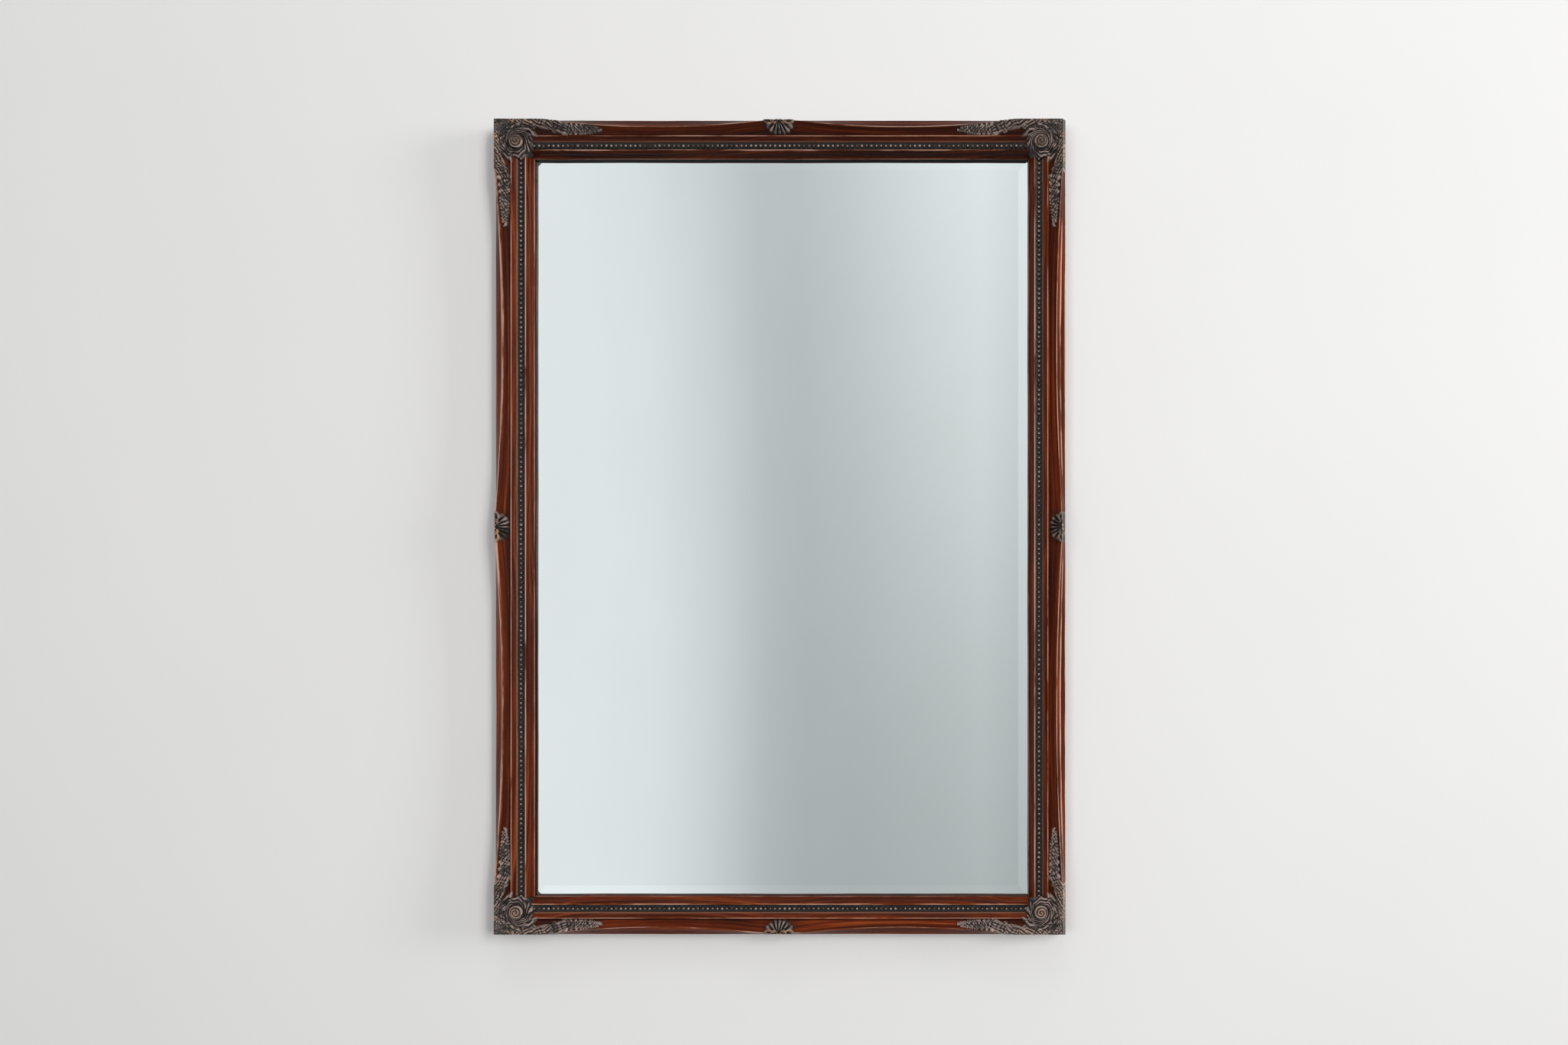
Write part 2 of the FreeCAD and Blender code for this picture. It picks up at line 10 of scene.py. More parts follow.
import bpy
import numpy as np
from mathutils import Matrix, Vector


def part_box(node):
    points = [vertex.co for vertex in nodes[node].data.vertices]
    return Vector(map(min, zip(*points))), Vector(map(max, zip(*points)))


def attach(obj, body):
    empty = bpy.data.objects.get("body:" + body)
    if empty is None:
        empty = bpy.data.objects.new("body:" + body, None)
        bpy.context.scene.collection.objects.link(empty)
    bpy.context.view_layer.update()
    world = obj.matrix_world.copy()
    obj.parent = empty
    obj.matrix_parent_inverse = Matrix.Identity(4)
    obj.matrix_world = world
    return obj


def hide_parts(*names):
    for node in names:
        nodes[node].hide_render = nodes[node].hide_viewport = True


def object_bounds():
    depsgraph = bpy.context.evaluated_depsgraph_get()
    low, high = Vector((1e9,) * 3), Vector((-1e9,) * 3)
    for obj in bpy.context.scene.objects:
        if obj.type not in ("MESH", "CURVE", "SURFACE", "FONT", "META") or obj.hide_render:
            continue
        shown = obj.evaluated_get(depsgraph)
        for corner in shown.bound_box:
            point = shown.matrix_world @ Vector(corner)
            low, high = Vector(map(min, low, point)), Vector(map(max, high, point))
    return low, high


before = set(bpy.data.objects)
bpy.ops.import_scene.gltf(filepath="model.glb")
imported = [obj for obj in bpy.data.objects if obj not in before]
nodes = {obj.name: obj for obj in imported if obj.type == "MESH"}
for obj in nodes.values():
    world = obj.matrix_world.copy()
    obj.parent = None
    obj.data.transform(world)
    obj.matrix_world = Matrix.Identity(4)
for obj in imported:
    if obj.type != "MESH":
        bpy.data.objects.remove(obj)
cad_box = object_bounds()
print(len(nodes), "pieces in the packed model")

# %% Measure the frame
MM = 0.001
rail_low, rail_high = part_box("top_rail")
HALF_WIDTH = rail_high.x / MM
HALF_HEIGHT = rail_high.z / MM
FACE_WIDTH = (rail_high.z - rail_low.z) / MM
print(f"frame {2 * HALF_WIDTH:.0f} x {2 * HALF_HEIGHT:.0f} mm, moulding {FACE_WIDTH:.1f} mm wide")

# %% [markdown]
# ## From numbers to a mesh
# Every piece below ends as an array of points and arrays of faces. One helper makes the mesh, checks with
# the signed volume that its faces look outwards, and hangs it on the frame in place of its plain solid.
# Values per point, such as how worn an edge is, travel along as attributes.


# %% Soften and piece helpers
SHARP_ANGLE = math.radians(60)
TAU = 2 * math.pi


def held(values):
    """Values held between 0 and 1."""
    return np.clip(values, 0, 1)


def bell(values, middle, width, power=2):
    """One at the middle and falling off both ways: exp(-((x - middle) / width)^power)."""
    return np.exp(-(((values - middle) / width) ** power))


def new_object(name, data):
    made = bpy.data.objects.new(name, data)
    bpy.context.scene.collection.objects.link(made)
    return made


def soften(values, sigma, axis=0, closed=False):
    """Mean along one axis of a grid, weighted by a bell curve that is sigma grid steps wide."""
    reach = int(np.ceil(3 * sigma))
    offsets = np.arange(-reach, reach + 1)
    weights = np.exp(-0.5 * (offsets / sigma) ** 2)
    weights /= weights.sum()
    border = [(0, 0)] * values.ndim
    border[axis] = (reach, reach)
    padded = np.pad(values, border, mode="wrap" if closed else "edge")
    steps = np.arange(values.shape[axis])
    return sum(weight * np.take(padded, steps + k, axis=axis) for k, weight in enumerate(weights))


def signed_volume(points, faces):
    """Sum of the boxes that each face spans with the origin: positive where faces look outwards."""
    total = 0.0
    for group in faces:
        first = points[group[:, 0]]
        for k in range(1, group.shape[1] - 1):
            total += np.sum(first * np.cross(points[group[:, k]], points[group[:, k + 1]]))
    return total


def add_piece(name, node, slot, points, faces, **marks):
    """Closed piece from points in millimetres and groups of equal-sided faces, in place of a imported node."""
    if signed_volume(points, faces) < 0:
        faces = [group[:, ::-1] for group in faces]
    mesh = bpy.data.meshes.new(name)
    mesh.from_pydata((points * MM).tolist(), [], [face for group in faces for face in group.tolist()])
    mesh.shade_smooth()
    mesh.set_sharp_from_angle(angle=SHARP_ANGLE)
    for mark, values in marks.items():
        vector = values.ndim == 2
        layer = mesh.attributes.new(mark, "FLOAT_VECTOR" if vector else "FLOAT", "POINT")
        layer.data.foreach_set("vector" if vector else "value", values.astype(np.float32).ravel())
    piece = new_object(name, mesh)
    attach(piece, "frame")
    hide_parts(node)
    print(name, len(mesh.polygons), "faces, standing", round(-points[:, 1].min(), 1), "mm forward")
    return piece


# %% [markdown]
# ## Where a member lies
# All four sides use one moulding, so its shape is written once: s runs along the member from its middle, w
# inwards from the outer wall, and h forward from the flat back. Quarter turns carry those three numbers to
# the four sides.

# %% The four sides
RUNS = {
    "top": ("rail", (1, 0)), "right": ("stile", (0, -1)),
    "bottom": ("rail", (-1, 0)), "left": ("stile", (0, 1)),
}
SIDES = {}
for side, (kind, along) in RUNS.items():
    half, reach = (HALF_WIDTH, HALF_HEIGHT) if kind == "rail" else (HALF_HEIGHT, HALF_WIDTH)
    out = (-along[1], along[0])
    SIDES[side] = {"node": f"{side}_{kind}", "along": along, "out": out, "half": half, "reach": reach}


def on_side(side, s, w, h):
    """Point at s along, w in and h forward: s times the side's along plus (reach - w) times its outward."""
    spec = SIDES[side]
    across = spec["reach"] - w
    x = s * spec["along"][0] + across * spec["out"][0]
    z = s * spec["along"][1] + across * spec["out"][1]
    return np.stack(np.broadcast_arrays(x, -h, z), axis=-1)


print(len(SIDES), "sides")

# %% [markdown]
# ## The moulding
# The frame is a run of stock moulding: a hollow cove outside, a sharp ridge, a channel for the pearls, and
# an ogee down to the glass. The outer rim is planed away on a slant, steep at the corners and flatter in
# between, so the crest swings in and out. An extruded profile can't do that, so the section is worked out
# afresh at each station and the stations are joined. A bell-curve mean rounds every arris as sanding would.

# %% Section of the moulding
COVE_TOP = (0.0, 37.2)
COVE_FOOT = (19.5, 21.6)
COVE_BOW = -1.0
BACK_EASE = 0.15
FRONT_RUNS = (
    (22.5, 26.2, 0.8), (27.8, 22.6, -0.5), (27.8, 22.0, 0.0),
    (28.7, 22.0, 0.0), (28.7, 19.4, 0.0), (37.1, 19.4, 0.0),
    (37.1, 21.0, 0.0), (38.7, 21.0, 0.0), (38.7, 20.2, 0.0),
    (41.25, 16.3, 0.5), (43.5, 10.9, -0.5), (45.0, 10.5, 0.0), (45.0, 5.8, 0.0),
)
BACK_RUNS = (
    (38.0, 5.8, 0.0), (38.0, 3.0, 0.0), (30.0, 3.0, 0.0),
    (30.0, BACK_EASE, 0.0), (0.0, BACK_EASE, 0.0),
)
FRONT_STEP = 0.5
BACK_STEP = 1.5


def bowed_run(start, end, bow, share):
    """Points at shares t of a run: the straight run, lifted to its left by bow times 4 t (1 - t)."""
    run = np.subtract(end, start)
    left = np.array([-run[1], run[0]]) / np.hypot(*run)
    lift = bow * 4 * share * (1 - share)
    return np.add(start, share[:, None] * run + lift[:, None] * left)


def joined_runs(start, runs, step):
    """Points about a step apart along runs that follow one another, each given by its end and its bow."""
    stretches = []
    for w, h, bow in runs:
        count = max(2, int(round(math.dist(start, (w, h)) / step)))
        stretches.append(bowed_run(start, (w, h), bow, np.arange(count) / count))
        start = (w, h)
    return np.concatenate(stretches)


front = joined_runs(COVE_FOOT, FRONT_RUNS, FRONT_STEP)
rear = joined_runs(FRONT_RUNS[-1][:2], BACK_RUNS, BACK_STEP)
inner_section = np.concatenate([front, rear])
print(len(inner_section), "points round the fixed part of the section")

# %% The swept rim
WALL_HEIGHT = 17.0
CREST_AT_CORNER = 4.73
CREST_AT_SHELL = 5.82
CREST_SWING = 6.95
SWING_FROM_CORNER = 62.0
SWING_FROM_SHELL = 22.0
COVE_FALL = (COVE_TOP[1] - COVE_FOOT[1]) / COVE_FOOT[0]

cove_share = np.linspace(0, 1, 400)
cove = bowed_run(COVE_TOP, COVE_FOOT, COVE_BOW, cove_share)
cove_slope = (cove[:, 1] - WALL_HEIGHT) / np.maximum(cove[:, 0], 0.01)


def rim_slope(s, half):
    """Slope of the rim from the wall's top to the crest, which swings inwards by 4 t (1 - t) between ends."""
    swing_run = half - SWING_FROM_SHELL - SWING_FROM_CORNER
    t = held((half - np.abs(s) - SWING_FROM_CORNER) / swing_run)
    crest = CREST_AT_CORNER + (CREST_AT_SHELL - CREST_AT_CORNER) * t + CREST_SWING * 4 * t * (1 - t)
    return (COVE_TOP[1] - crest * COVE_FALL - WALL_HEIGHT) / crest


def front_height(w, slope):
    """Height of the moulding's face at w: the section, cut off by the slanted rim."""
    face = np.concatenate([cove, front])
    return np.minimum(np.interp(w, face[:, 0], face[:, 1]), WALL_HEIGHT + w * slope)


print(f"rim slope {rim_slope(HALF_WIDTH, HALF_WIDTH):.2f} at a corner")

# %% Stations of the moulding
WALL_POINTS = 18
SLANT_POINTS = 14
COVE_POINTS = 30
STATION_STEP = 3.5
MITRE_RUN = 90.0
MITRE_GAP = 0.05
RIM_SOFTNESS = 2.0
ARRIS_SOFTNESS = 0.7
WEAR_REACH = 2.2
WEAR_START = 0.15
WEAR_DEPTH = 0.28
HOLLOW_REACH = 5.0
HOLLOW_START = 0.35
HOLLOW_DEPTH = 0.7
# Painted shade: a band of the lip by the glass is made black, up to a height that differs from side to side.
LIP_SHADE_BAND = 0.6
LIP_SHADE_TOP = {"top": 9.0, "right": 6.6, "bottom": 6.6, "left": 8.4}
SMEAR_MIDDLE = 28.2
SMEAR_WIDTH = 0.8
# Painted shade and light per side: the wood's colour is scaled down, most on the top rail, and scaled up on
# the outer slants, most on the bottom and left.
SIDE_SHADE = {"top": 0.5, "right": 0.97, "bottom": 0.95, "left": 0.84}
SLANT_LIGHT = {"top": 1.3, "right": 1.1, "bottom": 1.9, "left": 1.8}
# Painted highlight: a glint of varnish along the crest, given per side as its shift from the crest in mm and
# its strength.
CREST_GLINT = {"top": (0.0, 0.2), "right": (-6.0, 1.1), "bottom": (0.0, 0.15), "left": (1.5, 0.6)}
CREST_GLINT_WIDTH = 1.4
# Rubbing of the arrises per side, raised on the left and right so that it also paints glints of varnish along
# them.
ARRIS_RUB_AND_GLINT = {"top": 1.0, "right": 1.3, "bottom": 1.0, "left": 1.6}
CARVING_GRIME = 0.4
GRIME_AT_SHELL = 23.0
GRIME_AT_CORNER = (145.0, 25.0)
GRIME_ACROSS = (12.0, 10.0)
WAVES = ((330.0, 0.10), (150.0, 0.07), (64.0, 0.035))
WAVE_DRIFT = 0.12


def section_rings(slope):
    """Section at each rim slope: outer wall, slant to the crest, cove from the crest, and the fixed part."""
    crest_share = np.interp(slope, cove_slope[::-1], cove_share[::-1])
    wall, slant, hollow = (np.arange(n) / n for n in (WALL_POINTS, SLANT_POINTS, COVE_POINTS))
    share = crest_share[:, None] + hollow * (1 - crest_share[:, None])
    cove_w, cove_h = (np.interp(share, cove_share, line) for line in cove.T)
    slant_w = slant * cove_w[:, :1]
    fixed = np.broadcast_to(inner_section, (len(slope), *inner_section.shape))
    outer_h = np.broadcast_to(BACK_EASE + wall * (WALL_HEIGHT - BACK_EASE), (len(slope), WALL_POINTS))
    w = np.concatenate([0 * outer_h, slant_w, cove_w, fixed[..., 0]], axis=1)
    h = np.concatenate([outer_h, WALL_HEIGHT + slant_w * slope[:, None], cove_h, fixed[..., 1]], axis=1)
    return np.stack([w, h], axis=-1)


def section_normals(rings):
    """Outward direction at each point: the step to the next point, turned a quarter to the left."""
    step = np.roll(rings, -1, axis=1) - np.roll(rings, 1, axis=1)
    left = np.stack([-step[..., 1], step[..., 0]], axis=-1)
    return left / np.linalg.norm(left, axis=-1, keepdims=True)


def hand_waver(s, across, rng):
    """Unevenness of hand finishing: a few long sine waves along the member that drift across the section."""
    total = 0
    for length, depth in WAVES:
        phase, drift = rng.uniform(0, TAU), rng.uniform(-WAVE_DRIFT, WAVE_DRIFT)
        total = total + depth * np.sin(TAU * s / length + phase + drift * across)
    return total


print("stations every", STATION_STEP, "mm")

# %% Make the four members


def tube_faces(rings, count):
    """Quads between neighbouring rings of a closed section, and one face with many sides at each end."""
    ring, step = np.meshgrid(np.arange(rings - 1), np.arange(count), indexing="ij")
    here = ring * count + step
    beside = ring * count + (step + 1) % count
    quads = np.stack([here, beside, beside + count, here + count], axis=-1).reshape(-1, 4)
    start = np.arange(count)[None, ::-1]
    return [quads, start, (rings - 1) * count + start[:, ::-1]]


def capped_faces(rings, count):
    """Quads between rings, and fans that close the first and the last ring on the two points after them."""
    step = np.arange(count)
    beside = (step + 1) % count
    last = (rings - 1) * count
    pole = np.full(count, rings * count)
    first_fan = np.stack([beside, step, pole], axis=-1)
    last_fan = np.stack([last + step, last + beside, pole + 1], axis=-1)
    return tube_faces(rings, count)[0], np.concatenate([first_fan, last_fan])


def add_member(side, seed):
    """Moulding of one side: the section at each station, sheared near the ends into 45 degree mitres."""
    half = SIDES[side]["half"]
    rng = np.random.default_rng(seed)
    s = np.linspace(-half, half, int(2 * half / STATION_STEP) + 1)
    rings = section_rings(soften(rim_slope(s, half), RIM_SOFTNESS))
    fine = soften(rings, ARRIS_SOFTNESS, axis=1, closed=True)
    normals = section_normals(fine)
    bulge = np.sum((fine - soften(rings, WEAR_REACH, axis=1, closed=True)) * normals, axis=-1)
    dip = np.sum((soften(rings, HOLLOW_REACH, axis=1, closed=True) - fine) * normals, axis=-1)
    across = np.cumsum(np.linalg.norm(np.diff(fine, axis=1, prepend=fine[:, :1]), axis=-1), axis=1)
    fine = fine + normals * hand_waver(s[:, None], across, rng)[..., None]
    w, h = fine[..., 0], np.maximum(fine[..., 1], BACK_EASE)
    mitre = held((np.abs(s) - half + MITRE_RUN) / MITRE_RUN)[:, None]
    along = s[:, None] - np.sign(s)[:, None] * mitre * (w + MITRE_GAP)
    points = on_side(side, along, w, h).reshape(-1, 3)
    grain = np.stack([along * MM, across * MM, np.full_like(w, seed)], axis=-1).reshape(-1, 3)
    # Painted shade: the lip by the glass is black and never rubbed, higher up on the top and left sides.
    lip_shade = (w > FACE_WIDTH - LIP_SHADE_BAND) & (h < LIP_SHADE_TOP[side])
    face = h > WALL_HEIGHT
    from_crest = across - across[:, WALL_POINTS + SLANT_POINTS, None]
    # Painted highlight: the crest glint is laid into the wear mark, strongest on the right and the left.
    shift, amount = CREST_GLINT[side]
    crest_glint = amount * bell(from_crest, shift, CREST_GLINT_WIDTH)
    # Real wear of the arrises, and painted glints where the rubbing is raised by side and along the crest.
    worn_and_glint = np.maximum(ARRIS_RUB_AND_GLINT[side] * held((bulge - WEAR_START) / WEAR_DEPTH), crest_glint)
    near_corner = held((np.abs(along) - half + GRIME_AT_CORNER[0]) / GRIME_AT_CORNER[1])
    near_carving = np.maximum(bell(along, 0, GRIME_AT_SHELL, 4), near_corner)
    grime = CARVING_GRIME * near_carving * bell(w, *GRIME_ACROSS, 4) * face
    # Dirt and painted shade: the moulding is darkened in its hollows, and dirtied in the cove near the
    # carvings.
    dirty_and_shaded = np.maximum(held((dip - HOLLOW_START) / HOLLOW_DEPTH), grime)
    smear = bell(w, SMEAR_MIDDLE, SMEAR_WIDTH) * face
    return add_piece(
        f"{side}_moulding", SIDES[side]["node"], "frame_wood", points, tube_faces(*w.shape),
        grain=grain,
        wear=np.where(lip_shade, 0, worn_and_glint).ravel(),
        hollow=np.where(lip_shade, 1, dirty_and_shaded).ravel(),
        smear=smear.ravel(),
        # Painted shade and light: scale of the wood's colour by side and on the outer slant.
        tone=(SIDE_SHADE[side] * np.where(from_crest < 0, SLANT_LIGHT[side], 1)).ravel(),
    )


members = {side: add_member(side, seed) for seed, side in enumerate(SIDES, start=3)}

# %% [markdown]
# ## The pearl strips
# A pressed strip of small pearls lies in the channel, and no two pearls are quite alike. One ball is worked
# out once and copied to every place by adding arrays, far quicker than making hundreds of objects.

# %% Ball and ribbon
STRIP_END = HALF_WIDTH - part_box("top_bead_strip")[1].x / MM
RIBBON = (
    (28.8, 19.2), (28.8, 20.0), (29.2, 20.45), (30.0, 20.2),
    (35.8, 20.2), (36.6, 20.45), (37.0, 20.0), (37.0, 19.2),
)
# Painted shade: how dark the ribbon between the pearls is made.
RIBBON_SHADE = 0.6
PEARL_RADIUS = 2.6
PEARL_PITCH = 5.9
PEARL_ROW = (32.9, 20.2)
PEARL_SIDES = 8
PEARL_ANGLES = np.radians((25, 50, 75, 100, 140))
PEARL_STRAY = 0.09
PEARL_VARIETY = 0.03
# How narrow the painted highlight on each pearl's front is.
PEARL_GLINT_TIP = 7


def ball():
    """Unit ball: rings at angles a from its front pole, (sin a cos b, sin a sin b, cos a), and two poles."""
    turn = TAU * np.arange(PEARL_SIDES) / PEARL_SIDES
    tilt = PEARL_ANGLES[:, None]
    parts = [np.sin(tilt) * np.cos(turn), np.sin(tilt) * np.sin(turn), np.cos(tilt) + 0 * turn]
    rings = np.stack(parts, axis=-1)
    points = np.concatenate([rings.reshape(-1, 3), [[0, 0, 1], [0, 0, -1]]])
    return points, *capped_faces(len(PEARL_ANGLES), PEARL_SIDES)


unit_points, unit_quads, unit_fans = ball()
print(len(unit_points), "points in a pearl")

# %% Lay the strips


def add_strip(side, seed):
    """Ribbon along the channel, and pearls at even steps on it, each a little off in place and size."""
    rng = np.random.default_rng(seed)
    half = SIDES[side]["half"] - STRIP_END
    section = np.array(RIBBON)
    s = np.array([-half, half])[:, None]
    ribbon = on_side(side, s, *section.T).reshape(-1, 3)
    count = int(2 * half // PEARL_PITCH)
    middle = (np.arange(count) - (count - 1) / 2) * PEARL_PITCH
    place = np.stack(np.broadcast_arrays(middle, *PEARL_ROW), axis=-1)
    place += rng.normal(0, PEARL_STRAY, place.shape)
    size = PEARL_RADIUS * rng.normal(1, PEARL_VARIETY, count)
    pearls = place[:, None, :] + size[:, None, None] * unit_points
    pearl_points = on_side(side, *np.moveaxis(pearls, -1, 0)).reshape(-1, 3)
    shift = len(ribbon) + np.arange(count)[:, None, None] * len(unit_points)
    pearl_faces = (unit_quads + shift).reshape(-1, 4), (unit_fans + shift).reshape(-1, 3)
    faces = [*tube_faces(2, len(section)), *pearl_faces]
    # Painted highlight on the front of each pearl, and painted shade on its back half.
    front_glint = held(unit_points[:, 2]) ** PEARL_GLINT_TIP
    foot = held(0.5 - unit_points[:, 2])
    return add_piece(
        f"{side}_pearls", f"{side}_bead_strip", "bead_strip", np.concatenate([ribbon, pearl_points]), faces,
        wear=np.concatenate([np.zeros(len(ribbon)), np.tile(front_glint, count)]),
        hollow=np.concatenate([np.full(len(ribbon), RIBBON_SHADE), np.tile(foot, count)]),
    )


strips = {side: add_strip(side, seed) for seed, side in enumerate(SIDES, start=11)}

# %% [markdown]
# ## Carved relief
# The corner leaves and shells lie on the moulding like carved skins: a height above the wood at each point
# of a fine plan grid. Where it falls below the wood, the skin sinks out of sight, so the outline that is
# seen is smooth, however square the grid. A top, a back and walls round its rim make it a closed piece.

# %% Skin helpers
SKIN_DEPTH = 1.6
SKIN_SINK = -0.7
RELIEF_BLUR = 1.8
RUB_DEPTH = 0.6


def skin_faces(cells):
    """Top, back and walls over the grid cells that are on, with a wall where one meets a cell that is off."""
    rows, columns = np.array(cells.shape) + 1
    i, j = np.nonzero(cells)
    corners = [i * columns + j, (i + 1) * columns + j, (i + 1) * columns + j + 1, i * columns + j + 1]
    below = rows * columns
    padded = np.pad(cells, 1)
    outside = [padded[i + 1, j], padded[i + 2, j + 1], padded[i + 1, j + 2], padded[i, j + 1]]
    faces = [np.stack(corners, axis=-1), np.stack(corners[::-1], axis=-1) + below]
    for k, beyond in enumerate(outside):
        open_edge = ~beyond
        first, second = corners[k][open_edge], corners[(k + 1) % 4][open_edge]
        faces.append(np.stack([second, first, first + below, second + below], axis=-1))
    return np.concatenate(faces)


def relief_marks(height, step):
    """Worn share, and dirty share that also stands for painted shade in the cuts, of a relief: how far its
    height stands above or below its own blurred height.
    """
    reach = RELIEF_BLUR / step
    bulge = (height - soften(soften(height, reach, axis=0), reach, axis=1)) / RUB_DEPTH
    return held(bulge), held(-bulge)


def lit_cells(height):
    """Cells with at least one corner above the sinking depth."""
    on = height > SKIN_SINK
    return on[1:, 1:] | on[:-1, 1:] | on[1:, :-1] | on[:-1, :-1]


def add_skin(name, node, placed, bed, relief, wear, hollow, gilt):
    """Closed skin over a plan: its front lies a relief above the bed, and its back a little below the bed."""
    used, faces = np.unique(skin_faces(lit_cells(relief)), return_inverse=True)
    points = np.concatenate([placed(h).reshape(-1, 3) for h in (bed + relief, bed - SKIN_DEPTH)])[used]
    wear, hollow, gilt = (np.tile(mark.ravel(), 2)[used] for mark in (wear, hollow, gilt))
    faces = [faces.reshape(-1, 4)]
    return add_piece(name, node, "carving", points, faces, wear=wear, hollow=hollow, gilt=gilt)


print("a skin sinks", -SKIN_SINK, "mm into the wood at its rim")

# %% Strokes of the carver
VEIN_DEPTH = 0.55
SPINE_POINTS = 28
EDGE_FALL = 1.4
WAVER_LENGTHS = (9.0, 11.5, 14.0, 17.0, 21.0, 26.0)
WAVER_SPREAD = 2.5
RIDGE_ROUND = 0.7


def leaf_stroke(u, v, start, end, bow, breadth, rise, veins=2):
    """Height of one carved leaf over a plan point.

    A spine runs from start to end, bowed by 4 t (1 - t). The leaf is as broad as sin(pi t^0.7) of its
    breadth, round across, (1 - q^2)^0.5 at q of its half width, and cut by veins, cos(2 pi veins q).
    """
    t = np.linspace(0, 1, SPINE_POINTS)
    spine = bowed_run(start, end, bow, t)
    gap = np.hypot(u[:, None] - spine[:, 0], v[:, None] - spine[:, 1])
    nearest = np.argmin(gap, axis=1)
    away = gap[np.arange(len(u)), nearest]
    t = t[nearest]
    half = breadth * (0.14 + 0.86 * np.sin(math.pi * np.clip(t, 0.02, 1) ** 0.7) ** 0.8)
    q = away / half
    crown = np.sqrt(held(1 - q**2))
    cut = 1 - VEIN_DEPTH * (0.5 + 0.5 * np.cos(TAU * veins * q))
    swell = 0.5 + 0.5 * np.sin(math.pi * t**0.8)
    return np.where(q < 1, rise * swell * crown * cut, (1 - q) * half * EDGE_FALL)


def boss(u, v, centre, radius, rise, turns=0.0):
    """Height of a round boss: a dome, with a spiral groove cut into it when it has turns."""
    du, dv = u - centre[0], v - centre[1]
    r = np.hypot(du, dv) / radius
    groove = 0.5 + 0.5 * np.cos(TAU * r * turns - np.arctan2(dv, du))
    spiral = 1 - VEIN_DEPTH * (turns > 0) * groove
    return np.where(r < 1, rise * np.sqrt(held(1 - r**2)) * spiral, (1 - r) * radius * EDGE_FALL)


def waver(d, e, seed):
    """Smooth seeded unevenness of about one: six sine waves of random headings, 9 to 26 mm long, added up."""
    rng = np.random.default_rng(seed)
    total = 0
    for length in WAVER_LENGTHS:
        heading, phase = rng.uniform(0, TAU, 2)
        run = d * math.cos(heading) + e * math.sin(heading)
        total = total + np.sin(TAU * run / length + phase)
    return total / WAVER_SPREAD


def combed(height, ridges, share):
    """Height cut into round ridges with sharp grooves: |sin(pi x)|^0.7, for x ridges counted across."""
    cut = 1 - share + share * np.abs(np.sin(math.pi * ridges)) ** RIDGE_ROUND
    return np.where(height > 0, height * cut, height)


print("strokes are ready")

# %% [markdown]
# ## The corner leaves
# A spray of leaves covers each mitre. Petals wind round the rosette, and fine straight cuts run out to the
# corner. Along each side follows an arm: feathery leaves that lean from the rim into the cove, a pointed
# spur, and a lacy tip. One arm is worked out, and the other has the two plan directions changed over. On the
# rails they are drawn out a little longer. Near the rim the relief is held low, for a clean outline.

# %% Plan of a corner
GRID = 0.4
LEAF_REACH = 133.0
LEAF_BAND = 25.5
ROSE_CENTRE = 30.9
RIM_MARGIN = 1.2
RAIL_DRAW = ((0, 40, 90, 131), (0, 38, 73, 131))
LEAF_LEAN = np.array([math.cos(math.radians(33)), math.sin(math.radians(33))])
PLAN_START = 0.12
BED_SOFTNESS = 2.0

plan_line = np.arange(PLAN_START, LEAF_REACH, GRID)
plan_d, plan_e = np.meshgrid(plan_line, plan_line, indexing="ij")
corner_w = np.minimum(plan_d, plan_e)
corner_c = np.maximum(plan_d, plan_e)
slope_here = np.where(
    plan_d >= plan_e,
    rim_slope(HALF_WIDTH - corner_c, HALF_WIDTH),
    rim_slope(HALF_HEIGHT - corner_c, HALF_HEIGHT),
)
bed = front_height(corner_w, slope_here)
bed = np.maximum(bed, soften(soften(bed, BED_SOFTNESS, axis=0), BED_SOFTNESS, axis=1))
band = (corner_w < LEAF_BAND) & (corner_c < LEAF_REACH)
print(int(band.sum()), "plan points under a corner leaf")

# %% Strokes of one arm
ARM_OUTER = ((0, 60, 67, 80, 100, 131), (-8, -8, 6.5, 8.6, 9.8, 13.0))
ARM_INNER = ((0, 34, 42, 51, 73, 77, 100, 131), (24.5, 24.0, 14.0, 12.5, 21.0, 19.8, 19.2, 16.0))
ARM_LOBE = 8.5
LEAF_ROOTS = np.arange(22.0, 62.0, 6.4)
LEAF_LENGTHS = ((20, 30, 38, 48, 62), (9, 13, 19, 32, 19))
TIP_PAIRS = 8
TIP_START = 95
TIP_PITCH = 4.0
CORNER_HOLD = (0.45, 3.0, 9.0)


def held_low(relief, w, low, start, end):
    """Relief scaled down to the share low outside start, and eased back to full at end."""
    share = held((w - start) / (end - start))
    return np.where(relief > 0, relief * (low + (1 - low) * share * share * (3 - 2 * share)), relief)


def arm_ground(d, w):
    """Body of an arm: a low round swell between two lobed edges, along the rim first and then in the cove."""
    lobes = 0.9 * np.sin(TAU * d / ARM_LOBE) * held((d - 30) / 10)
    outer = np.interp(d, *ARM_OUTER) + lobes
    inner = np.interp(d, *ARM_INNER) + lobes
    edge = np.minimum(w - outer, inner - w)
    return np.where(edge > 0, 2.3 * np.sqrt(held(edge / 3.5)), 1.1 * edge)


def arm_rim(d, w):
    """Long leaf that lies along the rim, with a hooked end towards the corner."""
    along = leaf_stroke(d, w, (60, 3.6), (25, 3.4), 1.0, 2.0, 4.8, veins=1)
    return np.maximum(along, boss(d, w, (25.0, 5.6), 2.8, 4.6, turns=1.2))


